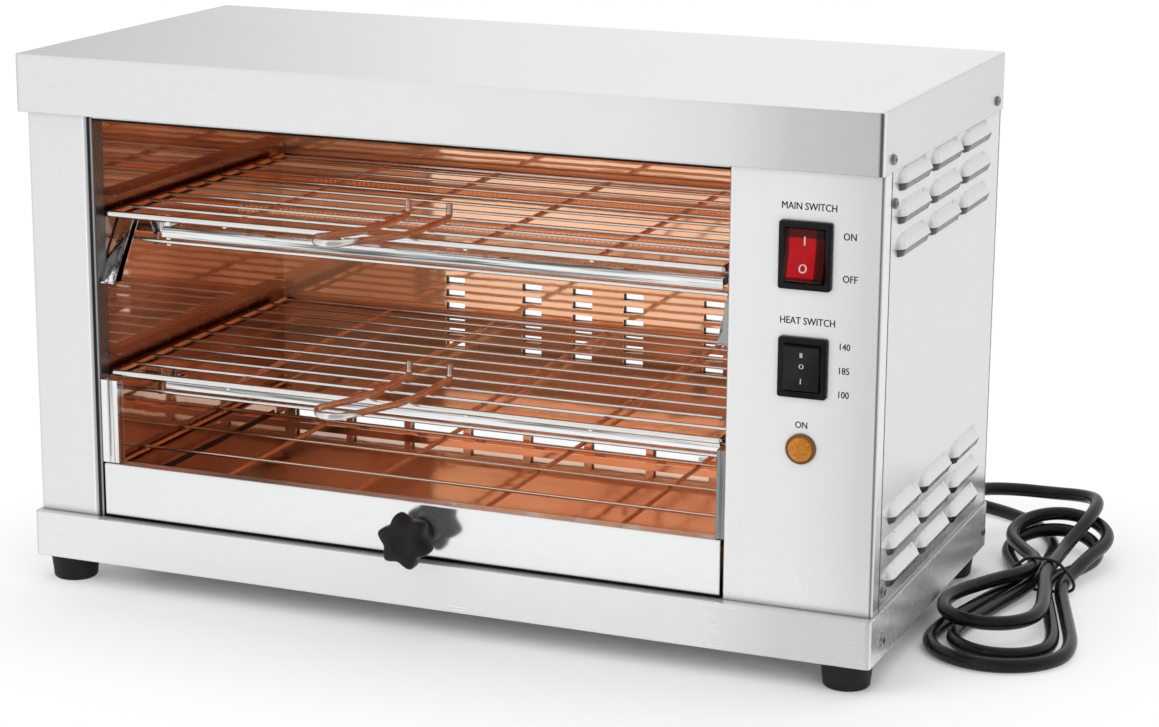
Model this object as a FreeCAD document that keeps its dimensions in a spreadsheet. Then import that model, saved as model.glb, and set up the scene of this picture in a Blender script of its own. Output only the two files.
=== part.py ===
"""Two-deck commercial toaster, in millimetres.

X runs to the right, Y to the back and Z up from the surface that the feet stand on. The pieces are
drawn about the middle of the case and shifted back by case_shift, so that the part's origin lies
under the middle of the whole toaster, handles included.
"""
import FreeCAD, Part
import math
import os
import re

import Sketcher

Vector = FreeCAD.Vector
EPS = 1e-6

# Driving dimensions: the name, the value and what it measures
SIZES = [
    ("case_wide", 540.0, "width over the cover"),
    ("case_deep", 260.0, "depth over the cover"),
    ("case_tall", 330.0, "height from the surface to the top of the cover"),
    ("gauge", 1.0, "outer sheet"),
    ("liner", 0.8, "thin sheet of runners, braces and tray"),
    ("press_gap", 0.3, "room between pieces that slide or turn past each other"),
    ("foot_tall", 16.0, "height of a foot"),
    ("foot_dia", 30.0, "foot at the base pan"),
    ("foot_tip_dia", 27.0, "foot at the surface"),
    ("foot_inset_side", 18.0, "foot centre in from the side of the case"),
    ("foot_inset_end", 20.0, "foot centre in from the front and back of the case"),
    ("foot_recess_dia", 13.0, "recess for the foot screw"),
    ("foot_recess_deep", 9.0, "depth of that recess"),
    ("base_tall", 28.0, "height of the base pan"),
    ("base_step", 3.0, "base pan front behind the cover front"),
    ("base_flange", 12.0, "inward flange along the top of the base pan"),
    ("corner_round", 3.0, "rounded upright corners of base pan and cover"),
    ("cover_tall", 35.0, "skirt of the cover"),
    ("cover_gap", 0.5, "room between skirt and side panel"),
    ("cover_step", 10.0, "front of the body behind the cover front"),
    ("cover_lip", 8.0, "return along the front lower edge of the cover"),
    ("cover_headroom", 2.0, "panel tops below the inside of the cover"),
    ("post_wide", 44.5, "left front post"),
    ("fascia_wide", 88.5, "control fascia"),
    ("corner_flange", 12.0, "post and fascia folded round the outer corner"),
    ("jamb_deep", 12.0, "post and fascia folded back into the opening"),
    ("seam_gap", 0.5, "seam between the front sheets and the side panels"),
    ("bend_round", 1.6, "outside radius of a fold"),
    ("rear_air", 5.5, "air gap between cavity and rear panel"),
    ("ceiling_drop", 4.0, "cavity ceiling below the cover skirt"),
    ("sheet_flange", 10.0, "flanges of the cavity sheets"),
    ("louvre_long", 62.0, "length of a louvre"),
    ("louvre_tall", 7.5, "height of a louvre hood above its crest"),
    ("louvre_lip", 4.5, "its crest above its open lip"),
    ("louvre_out", 4.0, "stand-out of a louvre's crest"),
    ("louvre_pitch_along", 66.5, "louvre columns"),
    ("louvre_pitch_up", 18.5, "louvre rows"),
    ("louvre_middle", 2.0, "middle louvre column, back from the middle of the case"),
    ("louvre_low", 15.0, "crest of the lowest louvre row above the base pan"),
    ("louvre_high", 46.0, "crest of the lowest row of the upper group, below the cover"),
    ("vent_wide", 14.0, "short vent slot in the rear"),
    ("vent_tall", 4.6, "its height"),
    ("vent_pitch", 8.7, "its rows"),
    ("vent_low", 66.0, "its lowest row, above the base pan"),
    ("vent_middle", -4.5, "middle column of vent slots"),
    ("vent_near", 36.0, "next columns from the middle one"),
    ("vent_far", 91.5, "outer columns from the middle one"),
    ("slot_wide", 39.0, "long vent slot along the bottom of the rear"),
    ("slot_tall", 8.0, "its height"),
    ("slot_pitch", 44.0, "its pitch"),
    ("slot_low", 4.5, "its lower edge above the base pan"),
    ("upper_grid_level", 57.5, "middle of the upper grid frame below the cavity ceiling"),
    ("lower_grid_level", 89.5, "middle of the lower grid frame above the cavity floor"),
    ("frame_rod", 4.0, "grid frame and handle rod"),
    ("depth_rod", 3.0, "front to back rods of a grid"),
    ("cross_wire", 2.0, "left to right wires of a grid"),
    ("grid_half_deep", 18.0, "grid frame rods in from the front and back of the case"),
    ("grid_side_gap", 4.0, "grid frame clear of the runner web"),
    ("weld_sink", 0.15, "weld between crossing wires"),
    ("runner_tall", 14.0, "grid runner"),
    ("runner_deep", 9.0, "its flanges"),
    ("runner_back", 12.0, "its rear end in front of the back of the case"),
    ("handle_middle", -30.0, "handle of a grid, right of the middle"),
    ("handle_wide", 27.0, "between the middles of its legs"),
    ("hook_back", 60.0, "its upturned ends in front of the middle"),
    ("hook_tall", 13.0, "height of an upturned end"),
    ("handle_reach", 196.0, "front of its loop, in front of the middle"),
    ("handle_rise", 9.0, "rise of its loop above the grid"),
    ("bar_tall", 6.4, "polished cross bar below a grid"),
    ("bar_deep", 5.0, "its flanges"),
    ("bar_front", 36.0, "its face behind the front of the cover"),
    ("upper_bar_level", 13.0, "middle of the upper cross bar below its grid"),
    ("lower_bar_level", 9.0, "middle of the lower cross bar below its grid"),
    ("bar_left_stand", 32.0, "left end of a cross bar from the wall"),
    ("bar_right_stand", 13.0, "right end of a cross bar from the wall"),
    ("bracket_front", 50.0, "its end brackets behind the front of the cover"),
    ("bracket_flange", 14.0, "flange of a bracket along the wall"),
    ("bracket_past", 6.0, "brackets beyond the ends of the bar"),
    ("guard_rod", 2.6, "thin rod under a cross bar"),
    ("guard_drop", 6.5, "that rod below the middle of the bar"),
    ("finger_wide", 3.0, "upright finger of an end bracket"),
    ("finger_up", 8.0, "finger above the middle of the bar"),
    ("finger_down", 11.0, "finger below the middle of the bar"),
    ("brace_wide", 10.0, "inclined runner brace"),
    ("brace_thick", 8.0, "its depth along the case"),
    ("brace_foot", 41.5, "its lower end below the upper grid"),
    ("brace_lean", 26.0, "its foot in front of its head"),
    ("right_brace_wide", 7.0, "the right one, mostly behind the panel"),
    ("upright_wide", 11.0, "polished upright beside the lower deck"),
    ("right_upright_wide", 5.0, "the right one, mostly behind the panel"),
    ("upright_deep", 7.0, "its flanges"),
    ("tube_dia", 10.5, "quartz tube"),
    ("tube_wall", 1.2, "its wall"),
    ("tube_hole", 11.5, "its hole in a cavity wall"),
    ("tube_past", 16.0, "tube beyond the cavity wall"),
    ("core_dia", 4.0, "wound filament in a quartz tube"),
    ("cap_side", 16.0, "ceramic end cap, square"),
    ("cap_long", 18.0, "its length"),
    ("top_tube_level", 9.5, "top quartz tubes below the cavity ceiling"),
    ("middle_tube_level", 28.5, "middle quartz tubes below the upper grid"),
    ("front_tube", 106.0, "front tube of each pair behind the front of the cover"),
    ("rear_tube", 64.0, "rear tube of each pair in front of the back of the cover"),
    ("ledge_level", 27.0, "underside of the rack ledge above the cavity floor"),
    ("ledge_side", 7.0, "flanges of that ledge"),
    ("rack_rod", 3.0, "coarse rack rod, front to back"),
    ("rack_wire", 2.2, "coarse rack wire, left to right"),
    ("rack_pitch", 86.0, "its rods"),
    ("rack_middle", -18.0, "middle of its rods"),
    ("rack_wire_pitch", 50.0, "its wires"),
    ("rack_first_wire", -71.0, "its front wire"),
    ("tray_gap", 1.5, "crumb tray front to the jambs"),
    ("tray_lift", 1.5, "crumb tray front above the base pan"),
    ("tray_front_top", 34.5, "top of the crumb tray front above the base pan"),
    ("tray_fold", 9.0, "folds round the crumb tray front"),
    ("tray_wall", 10.0, "side walls of the crumb tray"),
    ("tray_back", 18.0, "rear end of the crumb tray in front of the back of the case"),
    ("tray_lip", 2.5, "low lip at its rear end"),
    ("knob_right", -8.5, "tray knob, right of the middle"),
    ("knob_level", 17.0, "its middle above the base pan"),
    ("knob_dia", 34.0, "star knob over its lobes"),
    ("knob_thick", 14.0, "its star"),
    ("knob_hub_dia", 17.0, "its hub"),
    ("knob_hub_long", 13.0, "the hub's length"),
    ("knob_lobe", 5.2, "radius of a lobe"),
    ("knob_lobes", 6, "lobes"),
    ("knob_rim", 1.2, "round of its front rim"),
    ("dish_dia", 13.0, "dish in its face"),
    ("dish_floor", 10.0, "the dish's floor"),
    ("dish_deep", 1.2, "the dish's depth"),
    ("stud_dia", 6.0, "threaded stud"),
    ("stud_nut", 10.0, "its nut across the flats"),
    ("nut_tall", 4.0, "the nut's height"),
    ("stud_play", 0.6, "its hole in the tray front over its size"),
    ("stud_short", 2.0, "stud short of the hub's depth"),
    ("stud_tail", 10.0, "stud behind the tray front"),
    ("switch_right", 43.9, "middle of the controls in from the right of the body"),
    ("main_level", 48.0, "main switch below the cover"),
    ("main_wide", 30.0, "its bezel"),
    ("main_tall", 38.0, "its bezel"),
    ("main_rocker_wide", 22.6, "its rocker"),
    ("main_rocker_tall", 30.4, "its rocker"),
    ("main_tilt", 10.0, "lean of its rocker, degrees"),
    ("selector_level", 111.0, "heat selector below the cover"),
    ("selector_wide", 28.0, "its bezel"),
    ("selector_tall", 34.0, "its bezel"),
    ("selector_rocker_wide", 20.6, "its rocker"),
    ("selector_rocker_tall", 26.4, "its rocker"),
    ("bezel_thick", 2.2, "switch bezels"),
    ("switch_deep", 24.0, "switch bodies behind the fascia"),
    ("switch_wall", 2.0, "walls of the switch bodies"),
    ("socket_spare", 4.0, "switch sockets behind their rocker"),
    ("bezel_round", 1.5, "corners of a bezel"),
    ("rocker_crown", 5.0, "rocker ends above the pivot"),
    ("rocker_valley", 3.4, "middle of the rocker above the pivot"),
    ("rocker_back", 5.0, "back of the rocker behind the pivot"),
    ("pivot_deep", 2.6, "rocker pivot behind the bezel face"),
    ("trunnion_dia", 3.0, "rocker trunnion"),
    ("trunnion_fit", 0.05, "trunnion play, on the radius"),
    ("trunnion_long", 1.2, "its length"),
    ("lamp_level", 157.5, "pilot lamp below the cover"),
    ("lamp_dia", 14.0, "its lens"),
    ("lamp_ring_dia", 17.0, "its ring"),
    ("lamp_ring_thick", 1.6, "the ring's stand-out"),
    ("lamp_body_dia", 12.0, "its body"),
    ("lamp_deep", 24.0, "the body's length"),
    ("lamp_dome", 4.0, "height of the lens"),
    ("lens_fit", 0.05, "play of the lens in the ring, on the radius"),
    ("lens_back", 0.5, "back of the lens before the fascia"),
    ("lamp_seat", 0.4, "seat of the lens before the fascia"),
    ("lamp_wall", 1.5, "wall of the lamp body"),
    ("lamp_cup", 4.0, "hollow of the lamp body behind the fascia"),
    ("tab_wide", 4.8, "blade terminal"),
    ("tab_long", 8.0, "its length"),
    ("tab_thick", 0.8, "its thickness"),
    ("tab_across", 8.0, "switch blades to the sides of the middle"),
    ("main_tab_up", 6.0, "main switch blades above and below its middle"),
    ("selector_tab_up", 8.0, "outer selector blades from its middle"),
    ("lamp_tab_across", 3.5, "lamp blades to the sides of its middle"),
    ("screw_head", 6.0, "pan head"),
    ("screw_head_tall", 1.8, "its height"),
    ("screw_shank", 3.6, "shank"),
    ("screw_long", 8.0, "shank length"),
    ("screw_play", 0.2, "shank play, on the radius"),
    ("screw_sink", 0.2, "shank into its head"),
    ("slot_thin", 0.8, "arm of a head's cross recess"),
    ("cover_screw_out", 18.0, "cover screws in from its front and back"),
    ("cover_screw_level", 7.0, "cover screws above its lower edge"),
    ("panel_screw_in", 6.5, "side panel screws behind the seam"),
    ("panel_screw_high", 19.0, "upper side panel screw below the cover"),
    ("panel_screw_low", 10.0, "lower side panel screw above the base pan"),
    ("base_screw_front", 25.0, "front base screw behind the front of the cover"),
    ("base_screw_back", 11.0, "rear base screw in front of the back of the base pan"),
    ("rear_screw_in", 6.5, "rear screws in from the edge of the rear panel"),
    ("block_wide", 46.0, "terminal block"),
    ("block_deep", 17.0, "its depth"),
    ("block_tall", 15.0, "its height"),
    ("block_ways", 4, "its clamps"),
    ("block_back", 52.0, "the block's front before the back of the case"),
    ("clamp_dia", 5.0, "its clamp screws"),
    ("clamp_tall", 3.0, "a clamp screw"),
    ("clamp_deep", 6.0, "a clamp screw below the top"),
    ("clamp_play", 0.1, "its play, on the radius"),
    ("groove_wide", 1.0, "grooves between the clamps"),
    ("groove_deep", 5.0, "their depth"),
    ("earth_left", 42.0, "earth stud left of the cord exit"),
    ("earth_back", 30.0, "earth stud before the back of the case"),
    ("earth_dia", 4.0, "earth stud"),
    ("earth_tall", 12.0, "its height"),
    ("earth_nut", 8.0, "its round nut"),
    ("lead_dia", 2.6, "a lead of the loom"),
    ("lead_gap", 0.3, "air at a lead's ends"),
    ("lead_run", 9.0, "straight lead behind a blade"),
    ("cord_dia", 8.6, "mains cord"),
    ("cord_right", 32.0, "cord exit in from the right of the case"),
    ("cord_level", 14.0, "cord exit above the feet"),
    ("gland_dia", 20.0, "cable gland across its flats"),
    ("gland_long", 9.0, "gland nut behind the base pan"),
    ("gland_taper", 3.0, "its tapered end"),
    ("gland_bore", 2.0, "gland bore past the cord, on the radius"),
    ("collar_long", 4.0, "the gland's collar inside the base pan"),
    ("relief_long", 26.0, "tapered strain relief"),
    ("relief_tip", 12.0, "strain relief at its thin end"),
    ("relief_rings", 4, "grooves round it"),
    ("ring_first", 5.0, "first groove from the nut"),
    ("ring_pitch", 4.6, "grooves"),
    ("ring_wide", 1.6, "a groove"),
    ("tie_dia", 2.0, "wire tie of the hank"),
    ("hank_right", 48.0, "waist of the hank to the right of the case"),
    ("hank_back", 50.0, "waist of the hank in front of the back of the case"),
    ("hank_gap", 0.65, "air between stacked strands"),
    ("waist_step", 10.2, "strands side by side through the waist"),
    ("plug_dia", 36.0, "plug body"),
    ("plug_long", 42.0, "plug body length"),
    ("plug_neck", 26.0, "tapered neck of the plug"),
    ("pin_dia", 4.8, "plug pin"),
    ("pin_long", 19.0, "plug pin length"),
    ("pin_pitch", 19.0, "between the pins"),
]

# Dimensions worked out from the driving ones
DERIVED = {
    "half_wide": "case_wide / 2",
    "half_deep": "case_deep / 2",
    "case_shift": "(handle_reach + frame_rod / 2 - body_back - screw_head_tall) / 2",
    "body_half": "half_wide - gauge - cover_gap",
    "body_front": "-half_deep + cover_step",
    "body_back": "half_deep - gauge - cover_gap",
    "base_front": "-half_deep + base_step",
    "base_top": "foot_tall + base_tall",
    "cover_bottom": "case_tall - cover_tall",
    "panel_top": "case_tall - gauge - cover_headroom",
    "foot_side": "half_wide - foot_inset_side",
    "foot_end": "half_deep - foot_inset_end",
    "seam": "body_front + corner_flange + seam_gap",
    "jamb_left": "-body_half + post_wide",
    "jamb_right": "body_half - fascia_wide",
    "wall_left": "jamb_left - gauge",
    "wall_right": "jamb_right + gauge",
    "cavity_front": "body_front + gauge",
    "cavity_back": "body_back - gauge - rear_air",
    "floor_top": "base_top + gauge",
    "ceiling": "cover_bottom - ceiling_drop",
    "lintel_bottom": "ceiling + gauge",
    "runner_front": "body_front + jamb_deep + press_gap",
    "grid_left": "wall_left + liner + grid_side_gap + frame_rod / 2",
    "grid_right": "wall_right - liner - grid_side_gap - frame_rod / 2",
    "bar_y": "-half_deep + bar_front",
    "tray_left": "jamb_left + tray_gap",
    "tray_right": "jamb_right - tray_gap",
    "tray_bottom": "base_top + tray_lift",
    "tray_floor": "floor_top + press_gap",
    "bezel_face": "body_front - bezel_thick",
    "pivot_y": "bezel_face + pivot_deep",
    "screw_hole": "screw_shank + 2 * screw_play",
    "base_screw_level": "foot_tall + base_tall / 2 - 3",
    "rear_screw_middle": "(panel_screw_foot + panel_screw_top) / 2",
    "gland_back": "half_deep + gland_long",
    "relief_back": "gland_back + relief_long",
    "strand_pitch": "cord_dia + hank_gap",
    "strand_low": "tie_dia + 0.4 + cord_dia / 2",
    "strand_high": "strand_low + strand_pitch",
    "louvre_foot": "base_top + louvre_low",
    "louvre_head": "cover_bottom - louvre_high",
    "vent_foot": "base_top + vent_low",
    "slot_foot": "base_top + slot_low",
    "upper_grid_z": "ceiling - upper_grid_level",
    "lower_grid_z": "floor_top + lower_grid_level",
    "grid_reach": "half_deep - grid_half_deep",
    "runner_end": "half_deep - runner_back",
    "upper_bar_z": "upper_grid_z - upper_bar_level",
    "lower_bar_z": "lower_grid_z - lower_bar_level",
    "bracket_y": "-half_deep + bracket_front",
    "brace_low": "upper_grid_z - brace_foot",
    "top_tube_z": "ceiling - top_tube_level",
    "middle_tube_z": "upper_grid_z - middle_tube_level",
    "front_tube_y": "-half_deep + front_tube",
    "rear_tube_y": "half_deep - rear_tube",
    "ledge_z": "floor_top + ledge_level",
    "tray_top": "base_top + tray_front_top",
    "tray_end": "half_deep - tray_back",
    "knob_z": "base_top + knob_level",
    "switch_x": "body_half - switch_right",
    "main_z": "cover_bottom - main_level",
    "selector_z": "cover_bottom - selector_level",
    "lamp_z": "cover_bottom - lamp_level",
    "cover_screw_y": "half_deep - cover_screw_out",
    "cover_screw_z": "cover_bottom + cover_screw_level",
    "panel_screw_top": "cover_bottom - panel_screw_high",
    "panel_screw_foot": "base_top + panel_screw_low",
    "base_screw_near": "-half_deep + base_screw_front",
    "base_screw_far": "half_deep - base_screw_back",
    "cord_x": "half_wide - cord_right",
    "cord_z": "foot_tall + cord_level",
    "hank_x": "half_wide + hank_right",
    "hank_y": "half_deep - hank_back",
}

doc = FreeCAD.newDocument("Toaster")
sheet = doc.addObject("Spreadsheet::Sheet", "sizes")
ALIASES = set()
for row, (alias, value, meaning) in enumerate(SIZES, start=1):
    sheet.set(f"A{row}", meaning)
    sheet.set(f"B{row}", str(value))
    sheet.setAlias(f"B{row}", alias)
    ALIASES.add(alias)
doc.recompute()

parts = []


def bound(text):
    """Writes a formula of size names as an expression on the sheet's cells."""
    def swap(match):
        word = match.group(0)
        if word in DERIVED:
            return "(" + bound(DERIVED[word]) + ")"
        return "sizes." + word if word in ALIASES else word
    return re.sub(r"[A-Za-z_][A-Za-z_0-9]*", swap, str(text))


def size(text):
    """The present value of such a formula."""
    return float(sheet.evalExpression(bound(text)))


def keep(piece, label):
    """Names a finished piece, puts it in the part's frame and lists it for export."""
    piece.Label = label
    piece.setExpression("Placement.Base.y", bound("case_shift"))
    parts.append(piece)
    return piece


# Sketches, pads and pockets

PLANES = {"x": "YZ_Plane", "y": "XZ_Plane", "z": "XY_Plane"}


def new_body(name):
    return doc.addObject("PartDesign::Body", name)


def origin_feature(body, role):
    return [item for item in body.Origin.OriginFeatures if item.Role == role][0]


def sketch_on(body, axis, place, name):
    """An empty sketch across an axis. Across y its normal points to the front."""
    sketch = body.newObject("Sketcher::SketchObject", name)
    sketch.AttachmentSupport = [(origin_feature(body, PLANES[axis]), "")]
    sketch.MapMode = "FlatFace"
    sign = "-" if axis == "y" else ""
    sketch.setExpression("AttachmentOffset.Base.z", bound(f"{sign}({place})"))
    return sketch


def draw_outline(sketch, corners):
    """Draws a closed outline of straight lines and ties each corner to its formula."""
    first = sketch.GeometryCount
    spots = [(size(across), size(up)) for across, up in corners]
    count = len(corners)
    for i in range(count):
        start = Vector(*spots[i], 0)
        end = Vector(*spots[(i + 1) % count], 0)
        sketch.addGeometry(Part.LineSegment(start, end), False)
    for i in range(count):
        follow = first + (i + 1) % count
        sketch.addConstraint(Sketcher.Constraint("Coincident", first + i, 2, follow, 1))
    for i, corner in enumerate(corners):
        for kind, formula, spot in zip(("DistanceX", "DistanceY"), corner, spots[i]):
            tie = Sketcher.Constraint(kind, -1, 1, first + i, 1, spot)
            number = sketch.addConstraint(tie)
            sketch.setExpression(f"Constraints[{number}]", bound(formula))


def draw_circle(sketch, across, up, diameter):
    """Draws a circle whose middle and diameter follow their formulas."""
    middle = Vector(size(across), size(up), 0)
    number = sketch.addGeometry(Part.Circle(middle, Vector(0, 0, 1), size(diameter) / 2), False)
    for kind, formula, spot in (("DistanceX", across, middle.x), ("DistanceY", up, middle.y)):
        tie = sketch.addConstraint(Sketcher.Constraint(kind, -1, 1, number, 3, spot))
        sketch.setExpression(f"Constraints[{tie}]", bound(formula))
    tie = sketch.addConstraint(Sketcher.Constraint("Diameter", number, size(diameter)))
    sketch.setExpression(f"Constraints[{tie}]", bound(diameter))


def box_outline(low_across, high_across, low_up, high_up):
    return [(low_across, low_up), (high_across, low_up), (high_across, high_up), (low_across, high_up)]


def pad(body, axis, outlines, low, high, name, circles=()):
    """Pads outlines between two places on an axis."""
    sketch = sketch_on(body, axis, high if axis == "y" else low, name + "_outline")
    for outline in outlines:
        draw_outline(sketch, outline)
    for circle in circles:
        draw_circle(sketch, *circle)
    feature = body.newObject("PartDesign::Pad", name)
    feature.Profile = sketch
    feature.setExpression("Length", bound(f"({high}) - ({low})"))
    return feature


def pocket(body, axis, outlines, low, high, name, circles=()):
    """Cuts outlines or circles between two places on an axis."""
    sketch = sketch_on(body, axis, low if axis == "y" else high, name + "_outline")
    for outline in outlines:
        draw_outline(sketch, outline)
    for circle in circles:
        draw_circle(sketch, *circle)
    feature = body.newObject("PartDesign::Pocket", name)
    feature.Profile = sketch
    feature.setExpression("Length", bound(f"({high}) - ({low})"))
    return feature


def turned(body, outline, name):
    """Turns an outline of (radius, height) corners all the way round the Z axis."""
    sketch = sketch_on(body, "y", "0", name + "_outline")
    draw_outline(sketch, outline)
    feature = body.newObject("PartDesign::Revolution", name)
    feature.Profile = sketch
    feature.ReferenceAxis = (sketch, ["V_Axis"])
    feature.Angle = 360.0
    return feature


def round_edges(body, axis, spots, radius, name):
    """Rounds the straight edges that run along an axis through the given spots."""
    doc.recompute()
    base = body.Tip
    index = "xyz".index(axis)
    others = [i for i in range(3) if i != index]
    wanted = [tuple(size(formula) for formula in spot) for spot in spots]
    names = []
    for number, edge in enumerate(base.Shape.Edges, start=1):
        if len(edge.Vertexes) != 2:
            continue
        start, end = (vertex.Point for vertex in edge.Vertexes)
        if any(abs(start[i] - end[i]) > EPS for i in others):
            continue
        if any(all(abs(start[i] - spot[k]) < 1e-4 for k, i in enumerate(others)) for spot in wanted):
            names.append(f"Edge{number}")
    fillet = body.newObject("PartDesign::Fillet", name)
    fillet.Base = (base, names)
    fillet.setExpression("Radius", bound(radius))
    body.Tip = fillet
    return fillet


def row_of(body, features, axis, extent, count, name):
    """Repeats features along an axis of their body."""
    pattern = body.newObject("PartDesign::LinearPattern", name)
    pattern.Originals = features
    pattern.Direction = (origin_feature(body, axis.upper() + "_Axis"), [""])
    pattern.setExpression("Length", bound(extent))
    pattern.Occurrences = count
    body.Tip = pattern
    return pattern


# Primitives and booleans

def block(name, xs, ys, zs):
    """A box between two places on each axis."""
    box = doc.addObject("Part::Box", name)
    for prop, letter, (low, high) in (("Length", "x", xs), ("Width", "y", ys), ("Height", "z", zs)):
        box.setExpression(prop, bound(f"({high}) - ({low})"))
        box.setExpression(f"Placement.Base.{letter}", bound(low))
    return box


TURNS = {
    "x": FreeCAD.Rotation(Vector(0, 1, 0), 90),
    "y": FreeCAD.Rotation(Vector(1, 0, 0), -90),
    "z": FreeCAD.Rotation(),
}


def rod(name, axis, diameter, low, high, middle):
    """A round bar along an axis, between two places, through a middle on the other two axes."""
    bar = doc.addObject("Part::Cylinder", name)
    bar.Placement = FreeCAD.Placement(Vector(), TURNS[axis])
    bar.setExpression("Radius", bound(f"({diameter}) / 2"))
    bar.setExpression("Height", bound(f"({high}) - ({low})"))
    letters = [letter for letter in "xyz" if letter != axis]
    bar.setExpression(f"Placement.Base.{axis}", bound(low))
    for letter, place in zip(letters, middle):
        bar.setExpression(f"Placement.Base.{letter}", bound(place))
    return bar


def fuse(name, pieces):
    union = doc.addObject("Part::MultiFuse", name)
    union.Shapes = pieces
    union.Refine = True
    return union


def cut(name, base, tool):
    difference = doc.addObject("Part::Cut", name)
    difference.Base = base
    difference.Tool = tool
    return difference


def group(name, pieces):
    """Separate solids that share one node."""
    compound = doc.addObject("Part::Compound", name)
    compound.Links = pieces
    return compound


def solid_feature(name, shape):
    feature = doc.addObject("Part::Feature", name)
    feature.Shape = shape
    return feature


def axis_cylinder(start, direction, radius, length):
    return Part.makeCylinder(radius, length, start, direction)


# Tubes that bend: straight runs joined by tangent arcs

def bent_wire(points, radii=None, share=0.45):
    """The middle line of a bent tube.

    Each arc is as large as its two runs allow, share of the shorter run over the tangent of half
    the turn, unless radii names a smaller one for that corner. Returns the wire and the radii.
    """
    radii = radii or {}
    edges = []
    used = []
    last = points[0]
    for i in range(1, len(points) - 1):
        back = points[i - 1] - points[i]
        ahead = points[i + 1] - points[i]
        turn = math.pi - back.getAngle(ahead)
        shorter = min(back.Length, ahead.Length)
        radius = share * shorter / math.tan(turn / 2)
        radius = min(radius, radii.get(i, radius))
        trim = radius * math.tan(turn / 2)
        back.normalize()
        ahead.normalize()
        start = points[i] + back * trim
        end = points[i] + ahead * trim
        inward = (back + ahead).normalize()
        middle = points[i] + inward * (radius / math.cos(turn / 2) - radius)
        if (start - last).Length > EPS:
            edges.append(Part.LineSegment(last, start).toShape())
        edges.append(Part.Arc(start, middle, end).toShape())
        used.append(radius)
        last = end
    edges.append(Part.LineSegment(last, points[-1]).toShape())
    return Part.Wire(edges), used


def bent_tube(points, diameter, radii=None, share=0.45):
    """A solid round tube along such a line, with its wire and radii."""
    wire, used = bent_wire(points, radii, share)
    heading = (points[1] - points[0]).normalize()
    ring = Part.Wire([Part.makeCircle(diameter / 2, points[0], heading)])
    return wire.makePipeShell([ring], True, False), wire, used


def report_tube(name, shape, wire, used, diameter):
    """Prints a cord's length, tightest bends and how its volume compares with its section."""
    expected = math.pi * diameter ** 2 / 4 * wire.Length
    listed = ", ".join(f"{radius:.0f}" for radius in used)
    share = shape.Volume / expected
    print(f"{name}: {wire.Length:.0f} mm, volume {share:.3f} of section by length, radii {listed}")


# Base pan and feet

def make_base_pan():
    """A folded pan, open above, with a flange all round that the panels stand on."""
    body = new_body("base_pan")
    outer = box_outline("-half_wide", "half_wide", "base_front", "half_deep")
    pad(body, "z", [outer], "foot_tall", "base_top", "blank")
    corners = [(x, y) for x in ("-half_wide", "half_wide") for y in ("base_front", "half_deep")]
    round_edges(body, "z", corners, "corner_round", "corners")
    inner = box_outline("-half_wide + gauge", "half_wide - gauge", "base_front + gauge", "half_deep - gauge")
    pocket(body, "z", [inner], "foot_tall + gauge", "base_top - gauge", "hollow")
    doc.recompute()
    mouth = box_outline(
        "-half_wide + base_flange", "half_wide - base_flange",
        "base_front + base_flange", "half_deep - base_flange",
    )
    pocket(body, "z", [mouth], "base_top - gauge", "base_top", "mouth")
    doc.recompute()
    holes = [(x, y, "screw_hole") for x in ("-foot_side", "foot_side") for y in ("-foot_end", "foot_end")]
    pocket(body, "z", [], "foot_tall", "foot_tall + gauge", "foot_holes", holes)
    doc.recompute()
    holes = [(y, "base_screw_level", "screw_hole") for y in ("base_screw_near", "base_screw_far")]
    pocket(body, "x", [], "-half_wide", "half_wide", "side_holes", holes)
    doc.recompute()
    pocket(body, "y", [], "half_deep - gauge", "half_deep", "cord_hole",
           [("cord_x", "cord_z", "cord_dia + 4")])
    keep(body, "base_pan")


def make_feet():
    """Four tapered rubber feet, each recessed for its screw."""
    outline = [
        ("foot_recess_dia / 2", "0"), ("foot_tip_dia / 2 - 1", "0"), ("foot_tip_dia / 2", "1"),
        ("foot_dia / 2", "foot_tall - 2"), ("foot_dia / 2", "foot_tall"), ("screw_hole / 2", "foot_tall"),
        ("screw_hole / 2", "foot_recess_deep"), ("foot_recess_dia / 2", "foot_recess_deep"),
    ]
    feet = []
    for side, x in (("left", "-foot_side"), ("right", "foot_side")):
        for end, y in (("front", "-foot_end"), ("rear", "foot_end")):
            body = new_body(f"foot_{end}_{side}")
            turned(body, outline, "rubber")
            body.setExpression("Placement.Base.x", bound(x))
            body.setExpression("Placement.Base.y", bound(y))
            feet.append(body)
    keep(group("feet", feet), "feet")


# Cover and body panels

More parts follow.
